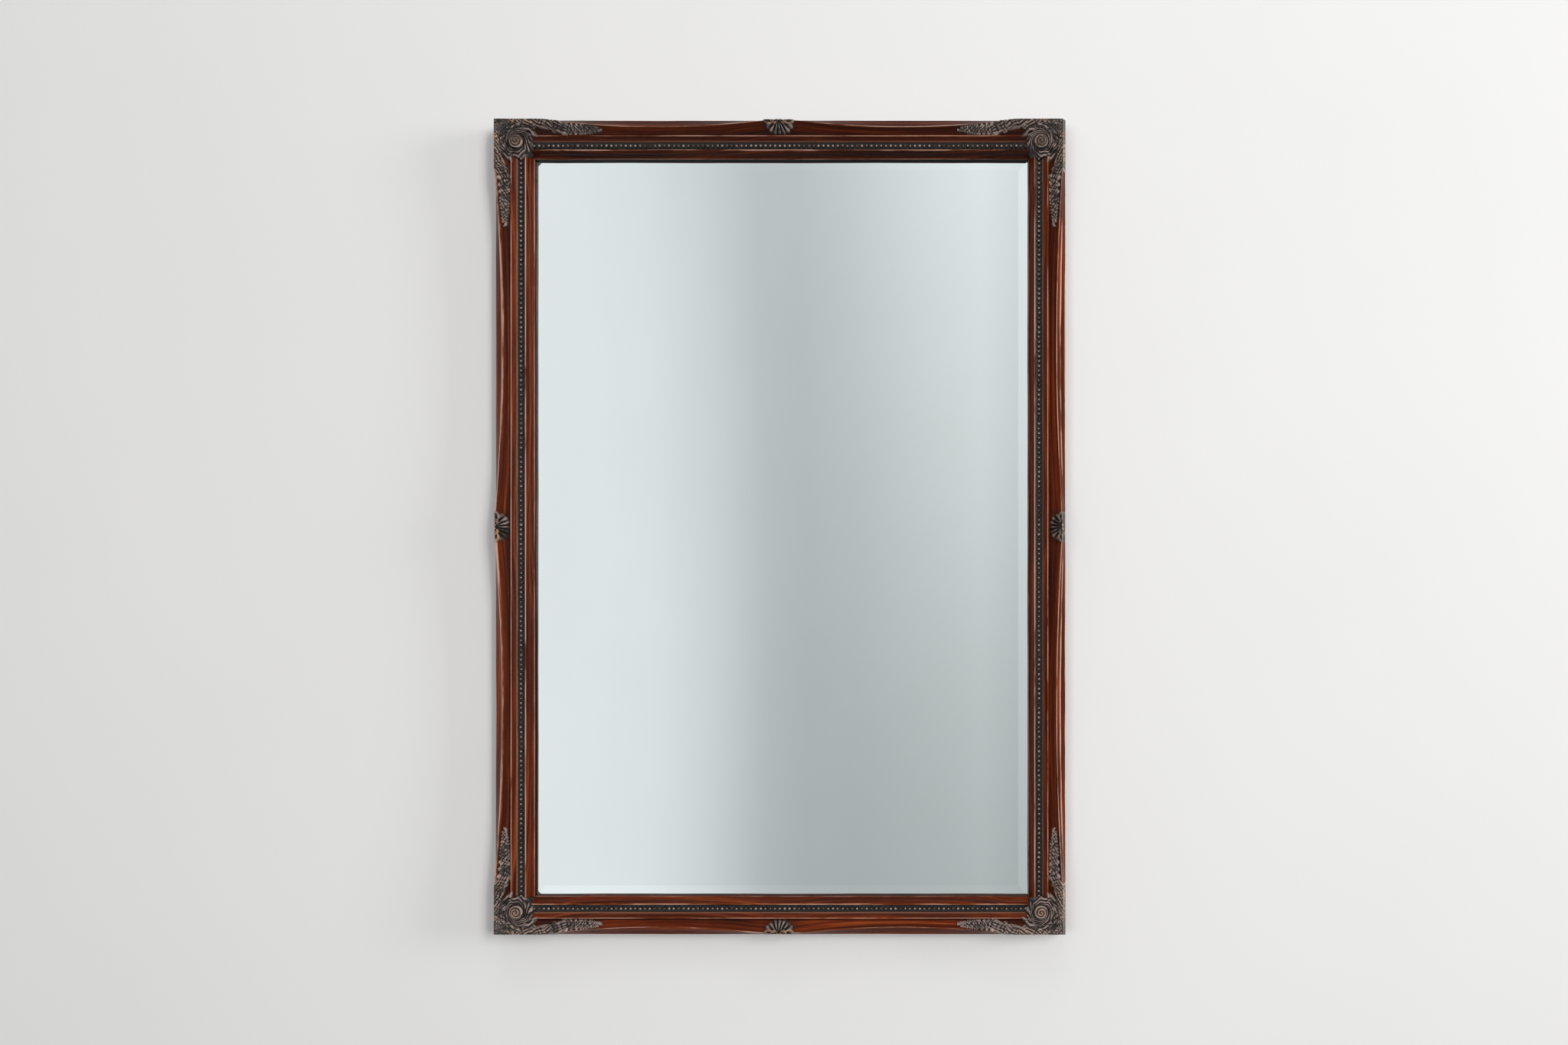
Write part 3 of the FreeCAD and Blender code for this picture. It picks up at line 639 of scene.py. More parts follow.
def arm_leaves(d, w):
    """Large strokes of an arm: the rim leaf, leaves that lean away from it, a spur, and two scrolls."""
    parts = [arm_rim(d, w)]
    for root in LEAF_ROOTS:
        length = np.interp(root, *LEAF_LENGTHS)
        start = np.array([root, RIM_MARGIN + 0.6])
        parts.append(leaf_stroke(d, w, start, start + length * LEAF_LEAN, 2.2, 3.1, 4.4, veins=1))
    spur = leaf_stroke(d, w, (47, 7.0), (74.5, 22.4), -2.4, 3.0, 4.4)
    scrolls = boss(d, w, (83.0, 14.4), 4.9, 4.2, turns=2.4), boss(d, w, (94.0, 14.2), 4.2, 3.8, turns=2.0)
    return np.max([*parts, spur, *scrolls], axis=0)


def arm_tip(d, w):
    """Pairs of leaflets with a small bead on each, and a button at the end."""
    parts = []
    for k in range(TIP_PAIRS):
        base = TIP_START + TIP_PITCH * k
        for turn in (-1, 1):
            end = (base + 4.6, 14.5 + turn * (4.6 - 0.4 * k))
            parts.append(leaf_stroke(d, w, (base, 14.4), end, turn * 0.8, 1.3, 3.6 - 0.15 * k, veins=1))
            parts.append(boss(d, w, end, 1.2, 2.8))
    parts.append(boss(d, w, (126.0, 14.5), 2.7, 3.4, turns=1.2))
    return np.max(parts, axis=0)


def arm_relief(d, w):
    """Highest of the strokes on one arm, combed along and across the lean of its leaves into small curls."""
    strokes = np.max([arm_ground(d, w), arm_leaves(d, w), arm_tip(d, w)], axis=0)
    across = w * LEAF_LEAN[0] - d * LEAF_LEAN[1]
    along = d * LEAF_LEAN[0] + w * LEAF_LEAN[1]
    curls = combed(strokes, across / 3.1 + 0.35 * waver(d, w, 22), 0.55)
    return combed(curls, along / 4.4 + 0.5 * waver(d, w, 27), 0.5)


def rose_winding(r, angle):
    """Number of the ridge at a point when seven ridges wind round the rosette as 7 angle - 28 ln r."""
    return (7 * angle - 28 * np.log(np.maximum(r, 4) / 9)) / TAU


def corner_cuts(d, e):
    """Fine ridges that wind round the rosette, and straight ones beside the mitre out to the corner."""
    r = np.hypot(d - ROSE_CENTRE, e - ROSE_CENTRE)
    angle = np.arctan2(e - ROSE_CENTRE, d - ROSE_CENTRE)
    swell = 2.9 + 0.7 * waver(d, e, 23)
    wound = np.minimum(swell, np.minimum(1.2 * (24.5 - r), 23.5 - np.minimum(d, e)))
    wound = combed(wound, rose_winding(r, angle) + 0.3 * waver(d, e, 24), 0.7)
    straight = np.minimum(swell - 0.4, np.minimum(0.8 * (d + e - 13.0), 1.2 * (24.0 - np.maximum(d, e))))
    straight = combed(straight, (d - e) / 3.2 + 0.25 * waver(d, e, 25), 0.65)
    return combed(np.maximum(wound, straight), r / 4.6 + 0.6 * waver(d, e, 28), 0.4)


flat_d, flat_e = plan_d[band], plan_e[band]
drawn_in = np.interp(flat_d, *RAIL_DRAW)
arms = np.maximum(arm_relief(drawn_in, flat_e), arm_relief(flat_e, flat_d))
strokes = np.maximum(arms, corner_cuts(flat_d, flat_e))
rim_strokes = np.maximum(arm_rim(drawn_in, flat_e), arm_rim(flat_e, flat_d))
leaf_relief = np.full(plan_d.shape, -2.0)
leaf_relief[band] = held_low(strokes, corner_w[band], *CORNER_HOLD)
print(f"leaf relief up to {leaf_relief.max():.1f} mm")

# %% Make the four corner leaves
CORNERS = {"top_left": (-1, 1), "top_right": (1, 1), "bottom_left": (-1, -1), "bottom_right": (1, -1)}
CORNER_RUB = {"top_left": 0.85, "top_right": 1.1, "bottom_left": 1.1, "bottom_right": 1.6}
GILT_SHARE = 0.8
GILT_ACROSS = 7.5
GILT_ALONG = (44.0, 26.0)
GILT_RISE = 3.0
LEAF_RUB, GILT_RUB = 0.85, 1.6


def on_corner(corner, d, e, h):
    """Point d in from the outer corner along X, e in along Z and h forward, mirrored to that corner."""
    side_x, side_z = CORNERS[corner]
    x, z = side_x * (HALF_WIDTH - d), side_z * (HALF_HEIGHT - e)
    return np.stack(np.broadcast_arrays(x, -h, z), axis=-1)


leaf_wear, leaf_hollow = relief_marks(leaf_relief, GRID)
leaf_gilt = GILT_SHARE * bell(corner_w, 0, GILT_ACROSS) * bell(corner_c, *GILT_ALONG)
leaf_gilt[band] = np.maximum(leaf_gilt[band], held(rim_strokes / GILT_RISE))
leaf_wear = leaf_wear * (LEAF_RUB + GILT_RUB * leaf_gilt)
leaves = {}
for corner, rub_and_glint in CORNER_RUB.items():
    placed = partial(on_corner, corner, plan_d, plan_e)
    marks = (rub_and_glint * leaf_wear, leaf_hollow / rub_and_glint, leaf_gilt)
    leaves[corner] = add_skin(f"{corner}_spray", f"{corner}_leaf", placed, bed, leaf_relief, *marks)

# %% [markdown]
# ## The rosettes
# On each corner sits a rose: a round bud cut with a spiral, and petals that wind outwards and lie down on
# the moulding towards the glass. Its grid is polar, and its petals are one formula of radius and angle.

# %% Petals
ROSE_RADIUS = 18.0
ROSE_FOOT = 9.0
BUD_RADIUS = 8.2
BUD_TOP = 35.2
BUD_ROUND = 30.0
BUD_CUT = 0.55
BUD_PITCH = 3.4
BUD_WALL = 4.0
PETAL_TOP = 30.0
PETAL_DEPTH = 1.9
PETAL_SINK = 1.4
ROSE_LIE = ((0, 19, 31, 45), (28.0, 25.0, 23.0, 15.0))
ROSE_TURNS = 160
ROSE_STEPS = 60


def rose_height(r, angle):
    """Bud cut with a spiral, over petals that sink from it to the moulding, cut into winding ridges."""
    x, z = r * np.cos(angle), r * np.sin(angle)
    bud = BUD_TOP - r**2 / BUD_ROUND + BUD_CUT * np.cos(TAU * r / BUD_PITCH - angle)
    bud = bud - BUD_WALL * np.clip(r - BUD_RADIUS, 0, None)
    lie = np.interp(np.minimum(x, z) + ROSE_CENTRE, *ROSE_LIE)
    share = held((r - BUD_RADIUS) / (ROSE_RADIUS - BUD_RADIUS)) ** PETAL_SINK
    ridges = np.abs(np.sin(math.pi * (rose_winding(r, angle) + 0.3 * waver(x, z, 26)))) ** RIDGE_ROUND
    return np.maximum(bud, PETAL_TOP + (lie - PETAL_TOP) * share + PETAL_DEPTH * (ridges - 0.6))


rose_r = np.linspace(0.25, ROSE_RADIUS, ROSE_STEPS)[:, None]
rose_angle = (TAU * np.arange(ROSE_TURNS) / ROSE_TURNS)[None, :]
rose_h = rose_height(rose_r, rose_angle)
print(f"rose stands {rose_h.max():.1f} mm forward of the back")

# %% Make the four rosettes
ROSE_BLUR = (4.0, 5.0)
ROSE_RUB_DEPTH = 0.8
HEART_RADIUS = 7.0
HEART_GILT = 0.5

rose_blur = soften(soften(rose_h, ROSE_BLUR[0], axis=0), ROSE_BLUR[1], axis=1, closed=True)
rose_bulge = (rose_h - rose_blur) / ROSE_RUB_DEPTH
heart = HEART_GILT * bell(rose_r, 0, HEART_RADIUS, 4) + 0 * rose_angle


def add_rose(corner):
    """Rings of rose points from the pole outwards, a wall down to the foot, and a pole that closes it."""
    d, e = (ROSE_CENTRE + rose_r * turn(rose_angle) for turn in (np.cos, np.sin))
    face = on_corner(corner, d, e, rose_h)
    foot = on_corner(corner, d[-1:], e[-1:], np.full((1, ROSE_TURNS), ROSE_FOOT))
    rings = np.concatenate([face, foot]).reshape(-1, 3)
    middle = on_corner(corner, ROSE_CENTRE, ROSE_CENTRE, np.array([rose_h[0].mean(), ROSE_FOOT]))
    # Wear on the rose's high points; dirt and painted shade in its cuts, and painted shade that makes its wall
    # and back black.
    worn_and_glint = held(CORNER_RUB[corner] * rose_bulge)
    dirty_and_shaded = held(-rose_bulge)
    wall = np.zeros(ROSE_TURNS)
    return add_piece(
        f"{corner}_rose", f"{corner}_rosette", "carving", np.concatenate([rings, middle]),
        capped_faces(ROSE_STEPS + 1, ROSE_TURNS),
        wear=np.concatenate([worn_and_glint.ravel(), wall, [0.5, 0]]),
        hollow=np.concatenate([dirty_and_shaded.ravel(), wall + 1, [0, 1]]),
        gilt=np.concatenate([heart.ravel(), wall, [HEART_GILT, 0]]),
    )


roses = {corner: add_rose(corner) for corner in CORNERS}

# %% [markdown]
# ## The shells
# At the middle of each side a small shell lies over the crest: a fan of ribs that opens towards the glass,
# with gilded scrolls at its hinge. Ribs follow the angle round the hinge, and swell the distance from it.

# %% Fan of the shell
SHELL_GRID = 0.3
SHELL_HALF = 20.5
SHELL_EDGE = 0.9
SHELL_HINGE = 3.2
SHELL_RIBS = 9
SHELL_RISE = 3.4
SHELL_START, SHELL_END = 0.3, 20.5
SHELL_REACH = 15.6
SHELL_SPREAD = 3.0
SCALLOP_DEPTH = 0.6
SHELL_HOLD = (0.55, 1.5, 6.0)
SHELL_SOFTNESS = 3.0

shell_s, shell_w = np.meshgrid(
    np.arange(-SHELL_HALF, SHELL_HALF + SHELL_GRID, SHELL_GRID),
    np.arange(SHELL_START, SHELL_END, SHELL_GRID),
    indexing="ij",
)


def shell_fan(s, w):
    """Ribbed fan: its swell grows away from the hinge, ribs are combed by angle, and scallops end them."""
    angle = np.arctan2(s, w - SHELL_HINGE)
    away = np.hypot(s, w - SHELL_HINGE)
    scallop = SCALLOP_DEPTH * np.cos(2 * SHELL_RIBS * angle)
    edge = SHELL_REACH + SHELL_SPREAD * np.abs(np.sin(angle)) + scallop
    share = away / edge
    swell = SHELL_RISE * (0.4 + 0.6 * held(share) ** 0.7) * held(1 - share**8) ** 0.5
    inside = combed(swell, SHELL_RIBS * angle / math.pi + 0.5, 0.9)
    beyond = np.minimum((1 - share) * edge, w - SHELL_EDGE) * EDGE_FALL
    return np.where(beyond > 0, inside, beyond)


flat_s, flat_w = shell_s.ravel(), shell_w.ravel()
scrolls = []
for turn in (-1, 1):
    mirrored = (flat_s * turn, flat_w)
    scrolls += [
        boss(*mirrored, (2.1, 4.6), 1.9, 4.6),
        leaf_stroke(*mirrored, (3.0, 7.6), (10.6, 4.6), 1.8, 1.5, 5.2, veins=1),
        leaf_stroke(*mirrored, (9.4, 8.4), (18.8, 5.6), 1.6, 1.4, 4.6, veins=1),
    ]
scrolls = np.max(scrolls, axis=0)
shell_relief = np.maximum(shell_fan(flat_s, flat_w), scrolls)
shell_relief = held_low(shell_relief, flat_w, *SHELL_HOLD).reshape(shell_s.shape)
shell_bed = front_height(shell_w, rim_slope(0.0, HALF_WIDTH) + 0 * shell_w)
shell_bed = np.maximum(shell_bed, soften(shell_bed, SHELL_SOFTNESS, axis=1))
print(f"shell relief up to {shell_relief.max():.1f} mm")

# %% Make the four shells
SCROLL_GILT_RISE = 2.0
RIB_RUB = 0.5

shell_wear, shell_hollow = relief_marks(shell_relief, SHELL_GRID)
shell_gilt = held(scrolls / SCROLL_GILT_RISE).reshape(shell_s.shape)
shell_wear = np.maximum(RIB_RUB * shell_wear, shell_gilt)
marks = (shell_wear, shell_hollow, shell_gilt)
shells = {}
for side in SIDES:
    placed = partial(on_side, side, shell_s, shell_w)
    shells[side] = add_skin(f"{side}_scallop", f"{side}_shell", placed, shell_bed, shell_relief, *marks)

# %% [markdown]
# ## Finishes
# Old frames show three things at once: streaky grain, colour rubbed off the high edges, and dirt left in
# the low places; here the rubbing also carries painted glints, and the dirt painted shade. Each is a node
# group. The groups only give masks, and each finish keeps its own shader, so that it can still be exported.

# %% Node helpers


def fill(tree, made, inputs):
    """Joins a node's inputs to sockets, or sets them to values."""
    for name, value in inputs.items():
        if isinstance(value, bpy.types.NodeSocket):
            tree.links.new(value, made.inputs[name])
        else:
            made.inputs[name].default_value = value


def put(tree, kind, inputs=None, **settings):
    """Adds a node, sets it up, and fills its inputs."""
    made = tree.nodes.new(kind)
    for name, value in settings.items():
        setattr(made, name, value)
    fill(tree, made, inputs or {})
    return made


def maths(tree, operation, first, second=0.0):
    return put(tree, "ShaderNodeMath", {0: first, 1: second}, operation=operation).outputs[0]


def ranged(tree, value, low, high, to_low=0.0, to_high=1.0):
    """Value eased from the range low to high onto the range to_low to to_high."""
    inputs = {"Value": value, "From Min": low, "From Max": high, "To Min": to_low, "To Max": to_high}
    return put(tree, "ShaderNodeMapRange", inputs, interpolation_type="SMOOTHSTEP").outputs[0]


def noise(tree, place, scale, detail=3.0, roughness=0.55):
    inputs = {"Vector": place, "Scale": scale, "Detail": detail, "Roughness": roughness}
    return put(tree, "ShaderNodeTexNoise", inputs).outputs[0]


def blend_colour(tree, share, first, second):
    """Mixes two colours; each may be a socket or a colour of three numbers."""
    colours = [c if isinstance(c, bpy.types.NodeSocket) else (*c, 1.0) for c in (first, second)]
    inputs = {0: share, 6: colours[0], 7: colours[1]}
    return put(tree, "ShaderNodeMix", inputs, data_type="RGBA").outputs[2]


def over(tree, paint, mask, amount, colour):
    """Paint with a colour laid over it, by an amount of a mask."""
    return blend_colour(tree, maths(tree, "MULTIPLY", mask, amount), paint, colour)


def ramp(tree, value, *stops):
    """Colour ramp from (place, colour) stops."""
    made = put(tree, "ShaderNodeValToRGB", {0: value})
    for _ in stops[2:]:
        made.color_ramp.elements.new(0.5)
    for element, (place, colour) in zip(made.color_ramp.elements, stops):
        element.position = place
        element.color = (*colour, 1.0)
    return made.outputs[0]


def new_group(name, inputs, outputs):
    """Empty node group with named sockets, and its inner ends."""
    group = bpy.data.node_groups.new(name, "ShaderNodeTree")
    for label, kind in inputs.items():
        group.interface.new_socket(label, in_out="INPUT", socket_type=kind)
    for label in outputs:
        group.interface.new_socket(label, in_out="OUTPUT", socket_type="NodeSocketFloat")
    return group, group.nodes.new("NodeGroupInput"), group.nodes.new("NodeGroupOutput")


def place_group(tree, group, **inputs):
    return put(tree, "ShaderNodeGroup", inputs, node_tree=group).outputs


def new_finish(name):
    """Material with nodes, its tree and its shader."""
    material = bpy.data.materials.new(name)
    material.use_nodes = True
    return material, material.node_tree, material.node_tree.nodes["Principled BSDF"]


def mark_of(tree, name, output="Fac"):
    return put(tree, "ShaderNodeAttribute", attribute_name=name).outputs[output]


def place_of(tree):
    return put(tree, "ShaderNodeTexCoord").outputs["Object"]


def times(tree, vector, factors):
    return put(tree, "ShaderNodeVectorMath", {0: vector, 1: factors}, operation="MULTIPLY").outputs[0]


def bumped(tree, height, strength, depth):
    inputs = {"Strength": strength, "Distance": depth, "Height": height}
    return put(tree, "ShaderNodeBump", inputs).outputs[0]


def dress(material, *pieces):
    """Gives pieces a finish, in place of any they have."""
    for piece in pieces:
        piece.data.materials.clear()
        piece.data.materials.append(material)


print("node helpers are ready")

# %% Groups for grain, rubbed edges with painted glints, and dirt with painted shade
VALUE, VECTOR = "NodeSocketFloat", "NodeSocketVector"
GRAIN_LAYERS = {
    "Streak": ((4.0, 340.0, 1.0), 4.0, 0.6, (0.28, 0.72)),
    "Fine": ((30.0, 1500.0, 1.0), 3.0, 0.6, (0.35, 0.65)),
    "Mottle": ((4.0, 70.0, 1.0), 3.0, 0.5, (0.36, 0.64)),
}
DIRT_AND_SHADE_CLOUDS = 160.0

grain_group, ends, made = new_group("wood_grain", {"Grain": VECTOR}, GRAIN_LAYERS)
for label, (stretch, detail, roughness, limits) in GRAIN_LAYERS.items():
    layer = noise(grain_group, times(grain_group, ends.outputs[0], stretch), 1.0, detail, roughness)
    fill(grain_group, made, {label: ranged(grain_group, layer, *limits)})


def mask_group(name, detail, roughness, clouds, limits):
    """Group that breaks a mark up: the mark times clouds of noise, eased between limits."""
    group, ends, made = new_group(name, {"Mark": VALUE, "Place": VECTOR, "Scale": VALUE}, ("Mask",))
    mark, place, scale = ends.outputs[:3]
    cloud = ranged(group, noise(group, place, scale, detail, roughness), *clouds)
    fill(group, made, {"Mask": ranged(group, maths(group, "MULTIPLY", mark, cloud), *limits)})
    return group


rub_and_glint_group = mask_group("rubbed_edges_and_glints", 4.0, 0.65, (0.35, 0.65, 0.3, 1.2), (0.15, 0.75))
dirt_and_shade_group = mask_group("dirt_and_painted_shade", 3.0, 0.6, (0.3, 0.7, 0.7, 1.3), (0.05, 0.7))


def masks(tree, rub_place, rub_scale):
    """Rubbed and dirty masks of a finish, from the marks of its pieces: the rubbing carries painted glints,
    and the dirt painted shade.
    """
    wear, hollow = mark_of(tree, "wear"), mark_of(tree, "hollow")
    rub_and_glint = place_group(tree, rub_and_glint_group, Mark=wear, Place=rub_place, Scale=rub_scale)
    dirt_and_shade = place_group(tree, dirt_and_shade_group, Mark=hollow, Place=place_of(tree), Scale=DIRT_AND_SHADE_CLOUDS)
    return rub_and_glint[0], dirt_and_shade[0]


print(len(bpy.data.node_groups), "node groups")

# %% [markdown]
# ## Varnished wood
# The moulding is stained almost black-brown, with red showing through along the grain, and orange to cream
# where hands and dusters have rubbed the arrises; the same colours also serve as painted glints of varnish
# along the crest and the arrises. From side to side the colour is scaled as painted shade and light, and the
# rubbing and painted glints differ. A clear coat gives the soft shine of old varnish over the rougher wood.

# %% Wood finish
STAIN_STOPS = (
    (0.0, (0.035, 0.006, 0.003)), (0.4, (0.125, 0.019, 0.005)),
    (0.75, (0.210, 0.036, 0.008)), (1.0, (0.320, 0.068, 0.014)),
)
# Rubbed wood from orange to cream; the cream end also serves as painted glints of varnish.
BARE_AND_GLINT_STOPS = ((0.3, (0.42, 0.15, 0.06)), (1.0, (0.70, 0.42, 0.32)))
MOTTLE_COLOUR = (0.036, 0.009, 0.005)
PORE_COLOUR = (0.010, 0.005, 0.004)
SMEAR_COLOUR = (0.24, 0.125, 0.085)
# Near black for dirt and painted shade in the hollows and on the lip.
DIRT_AND_SHADE_COLOUR = (0.008, 0.006, 0.006)
RUB_STRETCH = (9.0, 90.0, 1.0)

wood, tree, shader = new_finish("stained_wood")
along_grain = mark_of(tree, "grain", "Vector")
grain = place_group(tree, grain_group, Grain=along_grain)
rub_and_glint, dirt_and_shade = masks(tree, times(tree, along_grain, RUB_STRETCH), 1.0)
wood_colour = ramp(tree, grain["Streak"], *STAIN_STOPS)
wood_colour = blend_colour(tree, ranged(tree, grain["Mottle"], 0, 1, 0.0, 0.6), wood_colour, MOTTLE_COLOUR)
wood_colour = blend_colour(tree, ranged(tree, grain["Fine"], 0.0, 0.45, 0.5, 0.0), wood_colour, PORE_COLOUR)
# Painted shade and light: the colour is scaled by side and on the outer slant.
wood_colour = times(tree, wood_colour, mark_of(tree, "tone"))
wood_colour = over(tree, wood_colour, rub_and_glint, 0.75, ramp(tree, rub_and_glint, *BARE_AND_GLINT_STOPS))
wood_colour = over(tree, wood_colour, mark_of(tree, "smear"), 0.7, SMEAR_COLOUR)
wood_colour = over(tree, wood_colour, dirt_and_shade, 0.92, DIRT_AND_SHADE_COLOUR)
lift = maths(tree, "ADD", grain["Fine"], maths(tree, "MULTIPLY", grain["Streak"], 0.6))
fill(tree, shader, {
    "Base Color": wood_colour,
    "Roughness": ranged(tree, grain["Fine"], 0, 1, 0.48, 0.34),
    "Normal": bumped(tree, lift, 0.35, 0.0003),
    "Specular IOR Level": 0.05,
    "Coat Weight": 0.12,
    "Coat Roughness": 0.1,
})
dress(wood, *members.values())
print("wood on", len(members), "members")

# %% [markdown]
# ## Bronzed carving and pearls
# The carvings and pearls were painted a dark bronze grey. Dirt and painted shade blacken the cuts, painted
# shade blackens the backs of the pearls and the ribbon between them, and on the high points the paint has
# worn paler. Each pearl has a painted highlight on its front. A gilt mark turns it to copper near the rim, in
# the hearts of the roses and on the scrolls of the shells. Some corners are rubbed more than others.

# %% Bronze finishes
GILT_SHADE = 0.42
# Near black for dirt and painted shade in the cuts and round the pearls.
BRONZE_DIRT_AND_SHADE = (0.006, 0.005, 0.005)


def bronzed(name, stops, rubbed_and_glint_colour, gilt_colour, patches, amount):
    """Dark bronze paint: clouded through its stops, rubbed paler on the wear mark, which on pearls is a
    painted highlight, and black in the hollows as dirt and painted shade.
    """
    material, tree, shader = new_finish(name)
    place = place_of(tree)
    rub_and_glint, dirt_and_shade = masks(tree, place, patches)
    cloud = ranged(tree, noise(tree, place, 90.0, 4.0, 0.6), 0.32, 0.68)
    paint = ramp(tree, cloud, *zip((0.0, 0.5, 1.0), stops))
    warm = ranged(tree, noise(tree, place, 60.0, 2.0, 0.5), 0.40, 0.60, 0.35, 1.0)
    gilt = maths(tree, "MULTIPLY", mark_of(tree, "gilt"), warm)
    paint = over(tree, paint, gilt, 0.75, [GILT_SHADE * c for c in gilt_colour])
    bright = blend_colour(tree, gilt, rubbed_and_glint_colour, gilt_colour)
    paint = over(tree, paint, rub_and_glint, amount, bright)
    fill(tree, shader, {
        "Base Color": over(tree, paint, dirt_and_shade, 0.94, BRONZE_DIRT_AND_SHADE),
        "Metallic": maths(tree, "MULTIPLY", rub_and_glint, 0.45),
        "Roughness": ranged(tree, cloud, 0, 1, 0.36, 0.52),
        "Normal": bumped(tree, noise(tree, place, 900.0, 2.0, 0.6), 0.25, 0.0002),
        "Specular IOR Level": 0.3,
        "Coat Weight": 0.3,
        "Coat Roughness": 0.2,
    })
    return material


carving = bronzed(
    "bronzed_carving", ((0.010, 0.008, 0.007), (0.031, 0.0235, 0.0215), (0.074, 0.058, 0.053)),
    (0.46, 0.345, 0.30), (0.82, 0.48, 0.27), 75.0, 0.85,
)
pearl = bronzed(
    "bronzed_pearl", ((0.008, 0.005, 0.004), (0.024, 0.016, 0.013), (0.050, 0.036, 0.029)),
    (0.42, 0.35, 0.30), (0.30, 0.20, 0.14), 160.0, 0.9,
)
dress(carving, *leaves.values(), *roses.values(), *shells.values())
dress(pearl, *strips.values())
print("bronze on", len(leaves) + len(roses) + len(shells), "carvings and", len(strips), "strips")

# %% [markdown]
# ## Glass and what lies behind it
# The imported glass, board and metal already have the right shapes, so they only need finishes. Silvered
# glass is a nearly perfect metal with a faint blue-green cast and a trace of haze. Behind it are pressed
# hardboard, zinc-plated steel and black rubber.

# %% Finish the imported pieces
ZINC_PIECES = (
    "backing_screws", "mitre_nails", "hanger_screws",
    "left_hanger_strap", "right_hanger_strap", "left_hanger_ring", "right_hanger_ring",
)


def clouded(name, scale, low, high, rough, metallic=0.0, stretch=(1, 1, 1)):
    """Plain stuff: colour and roughness clouded between two values, with a fine bump of the same cloud."""
    material, tree, shader = new_finish(name)
    place = times(tree, place_of(tree), stretch)
    cloud = ranged(tree, noise(tree, place, scale, 5.0, 0.65), 0.3, 0.7)
    fill(tree, shader, {
        "Base Color": ramp(tree, cloud, (0.0, low), (1.0, high)),
        "Roughness": ranged(tree, cloud, 0, 1, *rough),
        "Normal": bumped(tree, cloud, 0.3, 0.0002),
        "Metallic": metallic,
    })
    return material


silver, tree, shader = new_finish("silvered_glass")
haze = ranged(tree, noise(tree, place_of(tree), 6.0, 3.0), 0.35, 0.65)
fill(tree, shader, {
    "Base Color": ramp(tree, haze, (0.0, (0.845, 0.920, 0.935)), (1.0, (0.860, 0.932, 0.950))),
    "Roughness": ranged(tree, haze, 0, 1, 0.015, 0.03),
    "Metallic": 1.0,
})

board_tones = (0.10, 0.055, 0.028), (0.20, 0.12, 0.065)
hardboard = clouded("hardboard", 260.0, *board_tones, (0.85, 0.7), stretch=(1, 1, 2.2))
zinc = clouded("zinc_plate", 420.0, (0.48, 0.49, 0.50), (0.66, 0.67, 0.68), (0.38, 0.26), metallic=1.0)
rubber = clouded("black_rubber", 500.0, (0.012, 0.012, 0.013), (0.028, 0.028, 0.029), (0.75, 0.6))
dress(silver, nodes["mirror_glass"])
dress(hardboard, nodes["backing_board"])
dress(rubber, nodes["wall_bumpers"], nodes["setting_blocks"])
dress(zinc, *(nodes[name] for name in ZINC_PIECES))
print(len(bpy.data.materials), "materials in the file")

# %% [markdown]
# ## The wall, the floor and the light
# The mirror hangs on a pale wall over a pale floor. The wall is opaque only for rays that reach its front
# straight from the camera, so it can be looked through from behind. Large soft lamps to the right, in front,
# above and behind give no reflections. A narrow one on the right does, and draws thin glints along the
# arrises. The room is a plain sky, lighter above. Reflections see another part of it: lighter on the left
# before the glass, and darker at the sides, so that the varnish doesn't turn milky.

# %% Wall and floor
WALL_GAP = 0.0002
FLOOR_DROP = 0.75
STUDIO_HALF = 4
WALL_TOP = 3
FLOOR_FRONT, FLOOR_BACK = -1.4, 3


def add_sheet(name, near, far, material):
    """Flat sheet across the studio, from a near edge to a far one, each given by its depth and height."""
    half = STUDIO_HALF
    mesh = bpy.data.meshes.new(name)
    mesh.from_pydata([(-half, *near), (half, *near), (half, *far), (-half, *far)], [], [(0, 1, 2, 3)])
    mesh.materials.append(material)
    sheet = new_object(name, mesh)
    return sheet


def matt_paint(name, colour):
    """Pale matt paint with the faintest clouding."""
    material, tree, shader = new_finish(name)
    cloud = ranged(tree, noise(tree, place_of(tree), 1.5, 3.0), 0.3, 0.7)
    paler = [min(1.0, c * 1.02) for c in colour]
    fill(tree, shader, {
        "Base Color": ramp(tree, cloud, (0.0, colour), (1.0, paler)),
        "Roughness": 0.9,
        "Specular IOR Level": 0.1,
    })
    return material


wall_paint = matt_paint("wall_paint", (0.86, 0.855, 0.85))
tree = wall_paint.node_tree
ray = put(tree, "ShaderNodeLightPath")
behind = put(tree, "ShaderNodeNewGeometry").outputs["Backfacing"]
seen = maths(tree, "MULTIPLY", ray.outputs["Is Camera Ray"], maths(tree, "SUBTRACT", 1.0, behind))
clear = put(tree, "ShaderNodeBsdfTransparent").outputs[0]
mixed = put(tree, "ShaderNodeMixShader", {0: seen, 1: clear, 2: tree.nodes["Principled BSDF"].outputs[0]})
tree.links.new(mixed.outputs[0], tree.nodes["Material Output"].inputs["Surface"])

wall_y = cad_box[1].y + WALL_GAP
floor_z = cad_box[0].z - FLOOR_DROP
add_sheet("wall", (wall_y, floor_z), (wall_y, WALL_TOP), wall_paint)
floor_paint = matt_paint("floor_paint", (0.84, 0.835, 0.83))
floor = add_sheet("floor", (FLOOR_FRONT, floor_z), (FLOOR_BACK, floor_z), floor_paint)
floor.visible_diffuse = False
print(f"wall {wall_y * 1000:.1f} mm behind the back of the frame")

# %% Room light


def grey(value):
    return (value, value, value)


